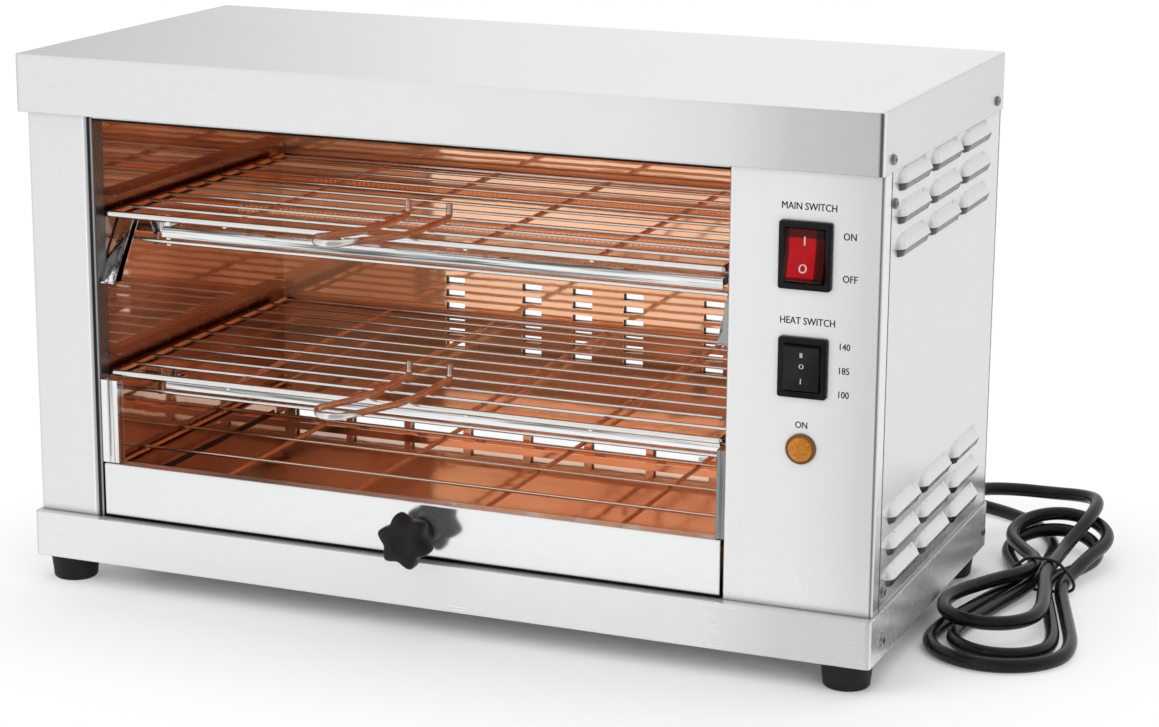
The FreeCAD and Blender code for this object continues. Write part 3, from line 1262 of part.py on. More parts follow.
def make_lamp():
    """The pilot lamp: a ring with a body through the fascia, and the domed lens in it."""
    turn_front = FreeCAD.Placement(Vector(), FreeCAD.Rotation(Vector(1, 0, 0), 90))
    ring = new_body("lamp_housing")
    seat, bore = "lamp_dia / 2 + lens_fit", "lamp_body_dia / 2 - lamp_wall"
    outline = [
        ("lamp_ring_dia / 2", "0"), ("lamp_ring_dia / 2", "lamp_ring_thick"),
        (seat, "lamp_ring_thick"), (seat, "lamp_seat"), (bore, "lamp_seat"), (bore, "-lamp_cup"),
        ("0", "-lamp_cup"), ("0", "-lamp_deep"),
        ("lamp_body_dia / 2", "-lamp_deep"), ("lamp_body_dia / 2", "0"),
    ]
    turned(ring, outline, "ring")
    keep(ring, "lamp_housing")
    lens = new_body("lamp_lens")
    sketch = sketch_on(lens, "y", "0", "dome_outline")
    radius, rise, rim = size("lamp_dia / 2"), size("lamp_dome"), size("lamp_ring_thick")
    low, top = size("lens_back"), rim + rise
    ball = (radius ** 2 + rise ** 2) / (2 * rise)
    half_way = math.asin(radius / ball) / 2
    middle = Vector(ball * math.sin(half_way), top - ball * (1 - math.cos(half_way)), 0)
    spots = [Vector(0, low, 0), Vector(radius, low, 0), Vector(radius, rim, 0), Vector(0, top, 0)]
    sketch.addGeometry(Part.LineSegment(spots[0], spots[1]), False)
    sketch.addGeometry(Part.LineSegment(spots[1], spots[2]), False)
    sketch.addGeometry(Part.Arc(spots[2], middle, spots[3]), False)
    sketch.addGeometry(Part.LineSegment(spots[3], spots[0]), False)
    dome = lens.newObject("PartDesign::Revolution", "dome")
    dome.Profile = sketch
    dome.ReferenceAxis = (sketch, ["V_Axis"])
    dome.Angle = 360.0
    keep(lens, "lamp_lens")
    for piece in (ring, lens):
        piece.Placement = turn_front
        piece.setExpression("Placement.Base.x", bound("switch_x"))
        piece.setExpression("Placement.Base.y", bound("body_front + case_shift"))
        piece.setExpression("Placement.Base.z", bound("lamp_z"))


def make_terminals():
    """Brass blades at the backs of the switches and the lamp."""
    blades = []
    back = "body_front + switch_deep"
    rows = [
        ("main", "main_z", "tab_across", ("-main_tab_up", "main_tab_up"), back),
        ("selector", "selector_z", "tab_across", ("-selector_tab_up", "0", "selector_tab_up"), back),
        ("lamp", "lamp_z", "lamp_tab_across", ("0",), "body_front + lamp_deep"),
    ]
    for name, level, across, heights, start in rows:
        for hand in (-1, 1):
            x = f"switch_x + {hand} * {across}"
            for row, height in enumerate(heights):
                z = f"{level} + ({height})"
                blades.append(block(
                    f"{name}_blade_{hand + 1}_{row}", (f"{x} - tab_thick / 2", f"{x} + tab_thick / 2"),
                    (start, f"{start} + tab_long"), (f"{z} - tab_wide / 2", f"{z} + tab_wide / 2"),
                ))
    keep(group("blade_terminals", blades), "blade_terminals")


# Screws

def pan_screw(seat, direction):
    """A cross-recessed pan-head screw whose head rests at seat and whose shank runs along direction."""
    head_r, head_t = size("screw_head") / 2, size("screw_head_tall")
    shank_r, long = size("screw_shank") / 2, size("screw_long")
    outward = direction * -1
    head = axis_cylinder(seat, outward, head_r, head_t)
    rim = [edge for edge in head.Edges if len(edge.Vertexes) == 1
           and abs((edge.Vertexes[0].Point - seat).dot(outward) - head_t) < EPS]
    head = head.makeFillet(0.7 * head_t, rim)
    sink = size("screw_sink")
    shank = axis_cylinder(seat - direction * sink, direction, shank_r, long + sink)
    side = outward.cross(Vector(0, 0, 1))
    if side.Length < EPS:
        side = Vector(1, 0, 0)
    up = outward.cross(side)
    screw = head.fuse(shank)
    for across in (side, up):
        half = across * (0.55 * head_r)
        slim = outward.cross(across) * (size("slot_thin") / 2)
        base = seat + outward * (0.5 * head_t)
        corners = [base + half + slim, base - half + slim, base - half - slim, base + half - slim]
        face = Part.Face(Part.makePolygon(corners + corners[:1]))
        screw = screw.cut(face.extrude(outward * head_t))
    return screw


def make_screws():
    """Identical screws in the cover, the side panels, the base pan, the rear panel and the feet."""
    half, body_half = size("half_wide"), size("body_half")
    screws = []
    for hand in (-1, 1):
        inward = Vector(-hand, 0, 0)
        for y in ("-cover_screw_y", "cover_screw_y"):
            screws.append(pan_screw(Vector(hand * half, size(y), size("cover_screw_z")), inward))
        for level in ("panel_screw_top", "panel_screw_foot"):
            seat = Vector(hand * body_half, size("seam + panel_screw_in"), size(level))
            screws.append(pan_screw(seat, inward))
        for y in ("base_screw_near", "base_screw_far"):
            screws.append(pan_screw(Vector(hand * half, size(y), size("base_screw_level")), inward))
        for level in ("panel_screw_foot", "rear_screw_middle", "panel_screw_top"):
            seat = Vector(hand * size("body_half - rear_screw_in"), size("body_back"), size(level))
            screws.append(pan_screw(seat, Vector(0, -1, 0)))
        for y in ("-foot_end", "foot_end"):
            seat = Vector(hand * size("foot_side"), size(y), size("foot_recess_deep"))
            screws.append(pan_screw(seat, Vector(0, 0, 1)))
    keep(solid_feature("casing_screws", Part.makeCompound(screws)), "casing_screws")


# Wiring bay

def make_wiring_bay():
    """The terminal block, the earth stud and the leads inside the right of the case."""
    low = size("foot_tall + gauge")
    start = Vector(size("cord_x - block_wide / 2"), size("half_deep - block_back"), low)
    wide, deep, tall = size("block_wide"), size("block_deep"), size("block_tall")
    shape = Part.makeBox(wide, deep, tall, start)
    ways = int(size("block_ways"))
    clamp_r, clamp_tall, clamp_deep = size("clamp_dia") / 2, size("clamp_tall"), size("clamp_deep")
    clamps = []
    for way in range(ways):
        spot = start + Vector(wide * (way + 0.5) / ways, deep / 2, tall - clamp_deep)
        shape = shape.cut(Part.makeCylinder(clamp_r + size("clamp_play"), clamp_deep + 1, spot))
        clamps.append(Part.makeCylinder(clamp_r, clamp_tall, spot))
    groove_wide, groove_deep = size("groove_wide"), size("groove_deep")
    for way in range(1, ways):
        spot = start + Vector(wide * way / ways - groove_wide / 2, -1, tall - groove_deep)
        shape = shape.cut(Part.makeBox(groove_wide, deep + 2, groove_deep + 1, spot))
    keep(solid_feature("terminal_block", shape), "terminal_block")
    earth = Vector(size("cord_x - earth_left"), size("half_deep - earth_back"), low)
    stud = Part.makeCylinder(size("earth_dia") / 2, size("earth_tall"), earth)
    clamps.append(stud.fuse(Part.makeCylinder(size("earth_nut") / 2, clamp_tall, earth)))
    keep(solid_feature("terminal_screws", Part.makeCompound(clamps)), "terminal_screws")

    lead, gap, run = size("lead_dia"), size("lead_gap"), size("lead_run")
    right, aside, lamp_aside = size("switch_x"), size("tab_across"), size("lamp_tab_across")
    back = size("body_front + switch_deep + tab_long") + gap
    lamp_back = back + size("lamp_deep - switch_deep")
    top = low + tall + lead / 2 + gap
    main, selector, lamp = size("main_z"), size("selector_z"), size("lamp_z")
    up, high = size("main_tab_up"), size("selector_tab_up")
    cap_x = size("wall_right + gauge + press_gap + cap_long") + gap
    block_y = start.y + deep / 2
    near, rear, middle = size("front_tube_y") + 6, size("rear_tube_y"), size("middle_tube_z")
    routes = {
        "live": [
            (right + aside, back, main - up), (right + aside, back + run, main - up),
            (right + 10, back + 24, main - 16), (right + 17, 20, main - 60), (right + 18, 60, 90),
            (right + 8, block_y, top + 16), (right + 8, block_y, top),
        ],
        "neutral": [
            (right - aside, back, main - up), (right - aside, back + run, main - up),
            (right - 9, back + 26, main - 16), (right - 4, 10, main - 70), (right - 2, 58, 84),
            (right - 3, block_y, top + 16), (right - 3, block_y, top),
        ],
        "link": [
            (right + aside, back, main + up), (right + aside, back + run, main + up),
            (right + 14, back + 18, main - 8), (right + 14, back + 18, selector + 20),
            (right + aside, back + run, selector + high), (right + aside, back, selector + high),
        ],
        "lamp_lead": [
            (right - lamp_aside, lamp_back, lamp), (right - lamp_aside, lamp_back + run, lamp),
            (right - 5, back + 22, lamp - 8), (right - 10, 10, 84), (right - 13, 60, 62),
            (right - 14, block_y, top + 14), (right - 14, block_y, top),
        ],
        "heat_high": [
            (right - aside, back, selector + high), (right - aside, back + run, selector + high),
            (right - 14, near - 10, selector + 16), (cap_x + 8, near - 6, middle), (cap_x, near - 6, middle),
        ],
        "heat_low": [
            (right - aside, back, selector - high), (right - aside, back + run, selector - high),
            (right - 12, near - 14, selector - 20), (right - 14, rear - 16, middle - 56),
            (cap_x + 9, rear, middle), (cap_x, rear, middle),
        ],
    }
    leads = []
    for name, route in routes.items():
        tube, wire, used = bent_tube([Vector(*spot) for spot in route], lead)
        leads.append(tube)
    keep(solid_feature("wiring_loom", Part.makeCompound(leads)), "wiring_loom")

    right, level = size("cord_x"), size("cord_z")
    collar, behind = size("half_deep - gauge - collar_long"), start.y + deep
    inner = [(right, collar, level), (right, collar - 10, level), (right - 4, behind + 12, low + 8),
             (right - 4, behind + gap, low + 8)]
    tail, wire, used = bent_tube([Vector(*spot) for spot in inner], size("cord_dia") - 2 * gap)
    keep(solid_feature("inner_cable", tail), "inner_cable")


# Cord

def make_gland():
    """The gland nut behind the base pan, and the tapered strain relief in it."""
    hole = size("cord_dia / 2 + gland_bore")
    start = Vector(size("cord_x"), size("half_deep"), size("cord_z"))
    back = Vector(0, 1, 0)
    radius, taper = size("gland_dia") / 2, size("gland_taper")
    across = radius / math.cos(math.pi / 6)
    turns = [corner * math.pi / 3 for corner in range(7)]
    corners = [start + Vector(across * math.cos(turn), 0, across * math.sin(turn)) for turn in turns]
    straight = size("gland_long") - taper
    nut = Part.Face(Part.makePolygon(corners)).extrude(back * straight)
    nut = nut.fuse(Part.makeCone(0.92 * radius, 0.8 * radius, taper, start + back * straight, back))
    reach = size("gauge + collar_long")
    collar = axis_cylinder(start - back * reach, back, hole - 0.1, reach)
    keep(solid_feature("cable_gland", nut.fuse(collar)), "cable_gland")
    relief_start = Vector(size("cord_x"), size("gland_back"), size("cord_z"))
    sleeve = Part.makeCone(0.72 * radius, size("relief_tip") / 2, size("relief_long"), relief_start, back)
    for ring in range(int(size("relief_rings"))):
        spot = relief_start + back * size(f"ring_first + {ring} * ring_pitch")
        core = 0.58 * radius - 0.25 * ring
        wide = size("ring_wide")
        washer = axis_cylinder(spot, back, radius + 2, wide).cut(axis_cylinder(spot, back, core, wide))
        sleeve = sleeve.cut(washer)
    keep(solid_feature("strain_relief", sleeve), "strain_relief")


def tangent_turn(middle, radius, enter, leave):
    """Where a clockwise turn, seen from above, leaves the line from enter, and how far it sweeps."""
    come, go = enter - middle, leave - middle
    start = math.atan2(come.y, come.x) - math.acos(radius / come.Length)
    end = math.atan2(go.y, go.x) + math.acos(radius / go.Length)
    return start, (start - end) % (2 * math.pi)


def flat(angle, radius):
    return Vector(radius * math.cos(angle), radius * math.sin(angle), 0)


def hank_points():
    """The hank's route: three loops wound clockwise, seen from above.

    Six strands run side by side through the waist, in two layers. A fold joins each strand to the
    next: a circle between the two lines that touch it from the ends of the straight waist, given
    by the corners of the outline drawn round it. A fold is named by its reach from the waist, its
    radius, its shift to the right, and the heights of its corners and of the eased points beside it.
    """
    low, high, rest = size("strand_low"), size("strand_high"), size("cord_dia") / 2 + 0.05
    step = size("waist_step")
    top = rest + size("strand_pitch") + 0.9
    waist = Vector(size("hank_x"), size("hank_y"), 0)
    half, corners, bow = 12, 5, 1.0
    strands = [
        (0.5, high + 0.6), (-0.5, high + 0.4), (1.5, low + 0.8), (-1.5, low), (0.5, low), (-0.5, low),
    ]
    level = [rest + 0.8] + [rest] * corners + [rest + 0.8]
    folds = [
        (-97, 29, -12, [top + 1.4] + [top] * corners + [top + 1.4]),
        (96, 31.5, -3.5, [top + 1.6, top + 1.6, 21.2, 23.6, 21.2, 17.4, rest + 9.8]),
        (-139, 41, 1, level),
        (90, 29.5, -7, [rest + 0.8, rest + 2.6, 11.6, 14.2, 11.6, 7, rest + 0.8]),
        (-120, 29, 1, level),
    ]
    points = []
    for number, (across, height) in enumerate(strands):
        place = waist + Vector(across * step, 0, 0)
        ahead = 1 if number % 2 else -1
        points.append(place + Vector(0, -ahead * (2 * half if number == 0 else half), height))
        if number == len(folds):
            points.append(place + Vector(0, 2 * half, height))
            break
        points.append(place + Vector(0, ahead * half, height))
        reach, radius, shift, heights = folds[number]
        hand = math.copysign(1, reach)
        middle = waist + Vector(shift, reach - hand * radius, 0)
        enter = place + Vector(0, hand * half, 0)
        leave = waist + Vector(strands[number + 1][0] * step, hand * half, 0)
        start, sweep = tangent_turn(middle, radius, enter, leave)
        share = sweep / corners
        touch_in, touch_out = middle + flat(start, radius), middle + flat(start - sweep, radius)
        for first, second, height in ((enter, touch_in, heights[0]), (touch_out, leave, heights[-1])):
            way = second - first
            outward = Vector(-way.y, way.x, 0).normalize() * bow
            points.append((first + second) / 2 + outward + Vector(0, 0, height))
            if first is enter:
                for corner in range(corners):
                    angle = start - share * (corner + 0.5)
                    spot = middle + flat(angle, radius / math.cos(share / 2))
                    points.append(spot + Vector(0, 0, heights[corner + 1]))
    return points


def route(start, entries):
    return [start + Vector(*entry) for entry in entries]


# The lead's route, chosen by hand: first from the end of the strain relief, then from the waist of the hank
LEAD_START = [(0, 15, 0), (8.5, 36, 1.5), (29, 51, 2.4), (56, 54.5, 2.8), (79, 44, 2.8)]
LEAD_END = [(14, 104, 31.8), (14, 74, 28.5), (7.6, 52, 20.4), (5.1, 38, 16.55)]
# The tail's route to the plug, chosen by hand, from the waist of the hank
TAIL_ROUTE = [
    (-5.1, 38, 6.7), (-8, 62, 4.8), (-14, 98, 4.4), (-30, 134, 4.4), (-54, 156, 4.4), (-83, 168, 5),
    (-111, 172, 8), (-134, 170, 12), (-158, 166.5, 16.6), (-178, 163.5, 18),
]
PLUG_PLACE = (-192, 160.7)


def least_gap(wire, diameter):
    """The least air between stretches of a tube that lie well apart along its length."""
    spots = wire.discretize(Distance=diameter / 6)
    skip = 18
    cell = 2 * diameter
    cells = {}
    for number, spot in enumerate(spots):
        cells.setdefault((spot.x // cell, spot.y // cell), []).append(number)
    least = cell
    for (column, line), numbers in cells.items():
        near = []
        for i in (-1, 0, 1):
            for k in (-1, 0, 1):
                near += cells.get((column + i, line + k), [])
        for number in numbers:
            for other in near:
                if other - number > skip:
                    least = min(least, (spots[number] - spots[other]).Length)
    return least - diameter


def make_cord():
    """The cord in three stretches that meet face to face, its tie and its plug."""
    diameter = size("cord_dia")
    coil = hank_points()
    exit_point = Vector(size("cord_x"), size("relief_back"), size("cord_z"))
    waist = Vector(size("hank_x"), size("hank_y"), 0)
    plug_face = waist + Vector(*PLUG_PLACE, size("plug_dia") / 2)
    lead = [exit_point] + route(exit_point, LEAD_START) + route(waist, LEAD_END)
    stretches = [
        ("cord_lead", lead + coil[:1]),
        ("cord_hank", coil),
        ("cord_tail", coil[-1:] + route(waist, TAIL_ROUTE) + [plug_face]),
    ]
    for label, points in stretches:
        shape, wire, used = bent_tube(points, diameter)
        report_tube(label, shape, wire, used, diameter)
        if label == "cord_hank":
            print(f"cord_hank: least gap to itself {least_gap(wire, diameter):.2f} mm")
        keep(solid_feature(label, shape), label)
    make_tie()
    make_plug(plug_face, Vector(-1, -0.2, 0).normalize())


def make_tie():
    """A closed loop of wire drawn round the strands at the waist of the hank."""
    step, cord_r = size("waist_step"), size("cord_dia") / 2
    wire_r = size("tie_dia") / 2
    air = 0.35 + wire_r
    side = 1.5 * step + cord_r + air
    bottom = wire_r + 0.05
    shoulder = size("strand_low") + cord_r
    top = size("strand_high") + cord_r + air + 0.6
    crown = 0.5 * step + cord_r
    outline = [
        (-side, bottom), (side, bottom), (side, shoulder), (crown, top), (-crown, top), (-side, shoulder),
    ]
    spots = [Vector(size("hank_x") + x, size("hank_y"), z) for x, z in outline]
    seam = (spots[0] + spots[1]) / 2
    points = [seam] + spots[1:] + [spots[0], seam]
    radii = {i: 2.4 * wire_r for i in range(1, len(points) - 1)}
    shape, wire, used = bent_tube(points, 2 * wire_r, radii)
    keep(solid_feature("cord_tie", shape), "cord_tie")


def make_plug(face, heading):
    """A moulded two-pin plug lying on its side, with a tapered neck and a flat gripping waist."""
    radius = size("plug_dia") / 2
    neck = Part.makeCone(size("cord_dia") / 2 + 1.4, 0.62 * radius, size("plug_neck"), face, heading)
    start = face + heading * size("plug_neck")
    flare = Part.makeCone(0.62 * radius, radius, 0.3 * size("plug_long"), start, heading)
    long = size("plug_long")
    barrel = axis_cylinder(start + heading * (0.3 * long), heading, radius, 0.7 * long)
    shape = neck.fuse([flare, barrel]).removeSplitter()
    keep(solid_feature("plug_body", shape), "plug_body")
    nose = start + heading * size("plug_long")
    side = Vector(-heading.y, heading.x, 0)
    pins = []
    for hand in (-1, 1):
        spot = nose + side * (hand * size("pin_pitch") / 2)
        pin = axis_cylinder(spot, heading, size("pin_dia") / 2, size("pin_long"))
        tip = [edge for edge in pin.Edges if len(edge.Vertexes) == 1
               and (edge.Vertexes[0].Point - spot).dot(heading) > size("pin_long") - EPS]
        pins.append(pin.makeFillet(1.2, tip))
    keep(solid_feature("plug_pins", Part.makeCompound(pins)), "plug_pins")


# The whole toaster

def build():
    make_base_pan()
    make_feet()
    make_cover()
    make_front_sheet("left_front_post", "-body_half", "jamb_left", -1)
    cutouts = []
    for prefix, level in (("main", "main_z"), ("selector", "selector_z")):
        half_w = f"({prefix}_rocker_wide / 2 + press_gap + switch_wall + 0.1)"
        half_t = f"({prefix}_rocker_tall / 2 + press_gap + switch_wall / 2 + 0.1)"
        cutouts.append(box_outline(f"switch_x - {half_w}", f"switch_x + {half_w}",
                                   f"{level} - {half_t}", f"{level} + {half_t}"))
    make_front_sheet("control_fascia", "body_half", "jamb_right", 1, cutouts,
                     [("switch_x", "lamp_z", "lamp_body_dia + 0.2")])
    make_side_panel("left_side_panel", -1)
    make_side_panel("right_side_panel", 1)
    make_rear_panel()
    make_lintel()
    make_cavity_side("cavity_left_wall", "wall_left", -1)
    make_cavity_side("cavity_right_wall", "wall_right", 1)
    make_cavity_rear()
    make_cavity_ceiling()
    make_cavity_floor()
    guards = []
    brackets = []
    for deck in ("upper", "lower"):
        level = f"{deck}_grid_z"
        make_runner(f"{deck}_left_runner", "wall_left", 1, level)
        make_runner(f"{deck}_right_runner", "wall_right", -1, level)
        guard, ends = make_cross_bar(deck, f"{deck}_bar_z")
        guards.append(guard)
        brackets += ends
        make_grid(f"{deck}_grid", level)
        make_grid_handle(f"{deck}_grid_handle", level)
    keep(group("guard_rods", guards), "guard_rods")
    keep(group("bar_brackets", brackets), "bar_brackets")
    braces = [make_brace("left_brace", "jamb_left", 1, "brace_wide"),
              make_brace("right_brace", "jamb_right", -1, "right_brace_wide")]
    keep(group("upper_braces", braces), "upper_braces")
    uprights = [make_upright("left_upright", "jamb_left", 1, "upright_wide"),
                make_upright("right_upright", "jamb_right", -1, "right_upright_wide")]
    keep(group("lower_uprights", uprights), "lower_uprights")
    tubes, cores, caps = [], [], []
    for prefix in ("top", "middle"):
        make_tubes(prefix, f"{prefix}_tube_z", tubes, cores, caps)
    keep(group("quartz_tubes", tubes), "quartz_tubes")
    keep(group("tube_caps", caps), "tube_caps")
    keep(group("tube_filaments", cores), "tube_filaments")
    make_rack()
    make_tray()
    make_knob()
    main_rocker = make_switch("main", "main_z")
    place_rocker(main_rocker, "main_z", "main_tilt")
    selector_rocker = make_switch("selector", "selector_z")
    place_rocker(selector_rocker, "selector_z", "0")
    make_lamp()
    make_terminals()
    make_screws()
    make_wiring_bay()
    make_gland()
    make_cord()


def check_and_export():
    """Refuses a failed object or a broken solid, then writes one file per piece."""
    doc.recompute()
    for item in doc.Objects:
        if "Invalid" in item.State or "Error" in item.State:
            raise RuntimeError(f"{item.Label} failed: {item.State}")
    for piece in parts:
        if piece.Shape.isNull() or not piece.Shape.isValid() or not piece.Shape.Solids:
            raise RuntimeError(f"{piece.Label} has no valid solid")
    os.makedirs("parts", exist_ok=True)
    for piece in parts:
        piece.Shape.exportStep(f"parts/{piece.Label}.step")
    print(f"{len(parts)} pieces, {sum(len(piece.Shape.Solids) for piece in parts)} solids")


build()
check_and_export()
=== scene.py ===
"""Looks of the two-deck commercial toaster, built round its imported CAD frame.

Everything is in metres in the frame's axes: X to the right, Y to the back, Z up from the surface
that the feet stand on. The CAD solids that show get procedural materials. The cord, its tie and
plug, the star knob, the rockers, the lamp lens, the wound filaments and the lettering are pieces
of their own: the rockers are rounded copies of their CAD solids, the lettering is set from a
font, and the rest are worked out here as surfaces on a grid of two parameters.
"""

import logging
import math
from dataclasses import dataclass, field
from enum import Enum

import bmesh
import bpy
import numpy as np
from mathutils import Matrix, Vector


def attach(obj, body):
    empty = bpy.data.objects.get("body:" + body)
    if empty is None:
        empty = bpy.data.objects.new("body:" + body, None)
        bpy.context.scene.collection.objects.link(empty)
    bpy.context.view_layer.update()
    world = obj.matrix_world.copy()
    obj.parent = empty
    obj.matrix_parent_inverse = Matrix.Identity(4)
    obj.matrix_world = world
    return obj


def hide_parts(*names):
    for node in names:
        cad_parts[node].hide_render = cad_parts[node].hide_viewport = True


LOG = logging.getLogger("toaster")
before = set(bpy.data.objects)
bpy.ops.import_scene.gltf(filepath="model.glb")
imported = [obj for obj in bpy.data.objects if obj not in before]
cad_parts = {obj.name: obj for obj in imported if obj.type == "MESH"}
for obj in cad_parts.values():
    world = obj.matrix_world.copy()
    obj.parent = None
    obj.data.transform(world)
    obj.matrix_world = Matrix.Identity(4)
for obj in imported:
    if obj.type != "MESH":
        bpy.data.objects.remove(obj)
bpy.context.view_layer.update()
MM = 0.001
CASE_SHIFT = 33.85  # how far the case's middle lies behind the frame's origin, in mm
TAU = 2.0 * math.pi
TO_FRONT = Vector((0.0, -1.0, 0.0))
WHITE = (1.0, 1.0, 1.0)
EDGE_SAMPLES = 4
FLAT_ANGLE = math.radians(1.5)
SHARP_ANGLE = math.radians(35.0)
CAPITALS = 0.72  # height of a capital as a part of the font's size
NARROWED = 0.86
PRINT_THICK = 0.02

Triple = tuple[float, float, float]
Pairs = tuple[tuple[float, float], ...]
Node = bpy.types.Node
Socket = bpy.types.NodeSocket
ShaderTree = bpy.types.NodeTree
Material = bpy.types.Material
Piece = bpy.types.Object


def at(x: float, y: float, z: float) -> Vector:
    """A place of the case, given in millimetres from its middle, as a point of the frame."""
    return Vector((x * MM, (y + CASE_SHIFT) * MM, z * MM))


def shown(name: str, data: bpy.types.ID) -> Piece:
    """A new object of the scene at the origin, with its mesh, curve, lamp or camera."""
    item = bpy.data.objects.new(name, data)
    bpy.context.scene.collection.objects.link(item)
    return item


# Shader trees


class Tree:
    """Adds and joins the nodes of one shader tree."""

    def __init__(self, tree: ShaderTree) -> None:
        """Keeps the tree that the nodes go into."""
        self.tree = tree

    def add(self, kind: str, **values: object) -> Node:
        """Adds a node.

        Args:
            kind: The node's type without the word ShaderNode.
            values: Its settings, then its inputs under their names with _ for a space.

        Returns:
            The new node.
        """
        node = self.tree.nodes.new(kind if kind.startswith("Node") else "ShaderNode" + kind)
        for name, value in values.items():
            if hasattr(node, name):
                setattr(node, name, value)
            else:
                self.give(node, **{name: value})
        return node

    def give(self, node: Node, **values: object) -> None:
        """Sets or joins the inputs of a node, under their names with _ for a space."""
        for name, value in values.items():
            self.join(value, node.inputs[name.replace("_", " ")])

    def join(self, source: object, target: Socket) -> None:
        """Sets an input to a plain value, or joins a socket or a node's first output to it."""
        if isinstance(source, (int, float, tuple)):
            target.default_value = source
        else:
            self.tree.links.new(source.outputs[0] if isinstance(source, Node) else source, target)

    def math(self, operation: str, first: object, second: object = 0.0) -> Socket:
        """A sum, product or other operation on one or two sockets or numbers."""
        node = self.add("Math", operation=operation)
        self.join(first, node.inputs[0])
        self.join(second, node.inputs[1])
        return node.outputs[0]

    def weighed(self, first: object, share: float, second: object) -> Socket:
        """A share of the first value and the rest of the second."""
        return self.math("ADD", self.math("MULTIPLY", first, share),
                         self.math("MULTIPLY", second, 1.0 - share))

    def spread(self, source: object, low: float, high: float, start: float = 0.0,
               end: float = 1.0) -> Socket:
        """Maps a value from start to end onto low to high."""
        node = self.add("MapRange", clamp=True, Value=source, From_Min=start, From_Max=end,
                        To_Min=low, To_Max=high)
        return node.outputs["Result"]

    def ramp(self, source: object, stops: tuple[tuple[float, float | Triple], ...]) -> Socket:
        """Colours a value by stops of (place, colour), where a number is a grey."""
        node = self.add("ValToRGB", Fac=source)
        band = node.color_ramp.elements
        while len(band) < len(stops):
            band.new(0.5)
        for element, (place, colour) in zip(band, stops):
            element.position = place
            element.color = (*((colour,) * 3 if isinstance(colour, float) else colour), 1.0)
        return node.outputs["Color"]

    def blended(self, mask: object, first: Triple, second: Triple) -> Socket:
        """A colour between first and second by a mask."""
        return self.ramp(mask, ((0.0, first), (1.0, second)))

    def mixed(self, factor: object, first: object, second: object, blend: str = "MIX") -> Socket:
        """The first colour where the factor is 0, and its blend with the second where it is 1."""
        node = self.add("Mix", data_type="RGBA", blend_type=blend)
        for number, value in ((0, factor), (6, first), (7, second)):
            self.join(value, node.inputs[number])
        return node.outputs[2]

    def shaded(self, colour: object, shade: object) -> Socket:
        """A colour times a shade, where 1 leaves it as it is."""
        return self.mixed(1.0, colour, shade, "MULTIPLY")

    def either(self, factor: object, first: object, second: object) -> Node:
        """The first shader where the factor is 0, the second where it is 1."""
        node = self.add("MixShader")
        for value, socket in zip((factor, first, second), node.inputs):
            self.join(value, socket)
        return node

    def along(self, axis: str) -> Socket:
        """The place on the piece along one axis of the frame, in metres."""
        return self.add("SeparateXYZ", Vector=self.add("TexCoord").outputs["Object"]).outputs[axis]

    def facing(self, axis: str) -> Socket:
        """How far the surface faces along one axis of the frame, from -1 to 1."""
        normal = self.add("NewGeometry").outputs["True Normal"]
        return self.add("SeparateXYZ", Vector=normal).outputs[axis]

    def turned(self, scale: Triple = (1.0, 1.0, 1.0), place: Triple = (0.0, 0.0, 0.0)) -> Socket:
        """Object coordinates, scaled and shifted for a pattern."""
        spot = self.add("TexCoord").outputs["Object"]
        return self.add("Mapping", Vector=spot, Scale=scale, Location=place).outputs["Vector"]

    def bump(self, height: object, strength: float, distance: float, onto: object = None) -> Socket:
        """A normal that follows a height, laid onto another normal where one is given."""
        node = self.add("Bump", Strength=strength, Distance=distance, Height=height)
        if onto is not None:
            self.join(onto, node.inputs["Normal"])
        return node.outputs["Normal"]


def new_group(name: str, inputs: dict[str, tuple[str, object]],
              outputs: dict[str, str]) -> tuple[Tree, Node, Node]:
    """Starts a shader node group.

    Args:
        name: The group's name.
        inputs: Socket type and default value of each input.
        outputs: Socket type of each output.

    Returns:
        The tree with its input and output nodes.
    """
    tree = bpy.data.node_groups.new(name, "ShaderNodeTree")
    for label, (kind, value) in inputs.items():
        socket = tree.interface.new_socket(name=label, in_out="INPUT", socket_type="NodeSocket" + kind)
        if value is not None:
            socket.default_value = value
    for label, kind in outputs.items():
        tree.interface.new_socket(name=label, in_out="OUTPUT", socket_type="NodeSocket" + kind)
    shade = Tree(tree)
    return shade, shade.add("NodeGroupInput"), shade.add("NodeGroupOutput")


def brush_group() -> ShaderTree:
    """Brushed grain: fine and coarse streaks, drawn out by the vector's own scale, and smudges."""
    shade, given, out = new_group(
        "Brushed grain", {"Streak Vector": ("Vector", None), "Smudge Vector": ("Vector", None)},
        {"Streak": "Float", "Smudge": "Float"})
    streaks, smudges = given.outputs["Streak Vector"], given.outputs["Smudge Vector"]
    fine = shade.add("TexNoise", Scale=1.0, Detail=3.0, Roughness=0.7, Vector=streaks)
    coarse = shade.add("TexNoise", Scale=0.22, Detail=2.0, Roughness=0.5, Vector=streaks)
    smudge = shade.add("TexNoise", Scale=1.0, Detail=3.0, Roughness=0.55, Distortion=0.6,
                       Vector=smudges)
    shade.give(out, Streak=shade.spread(shade.weighed(fine, 0.6, coarse), 0.0, 1.0, 0.3, 0.7),
               Smudge=shade.spread(smudge, 0.0, 1.0, 0.3, 0.7))
    return shade.tree


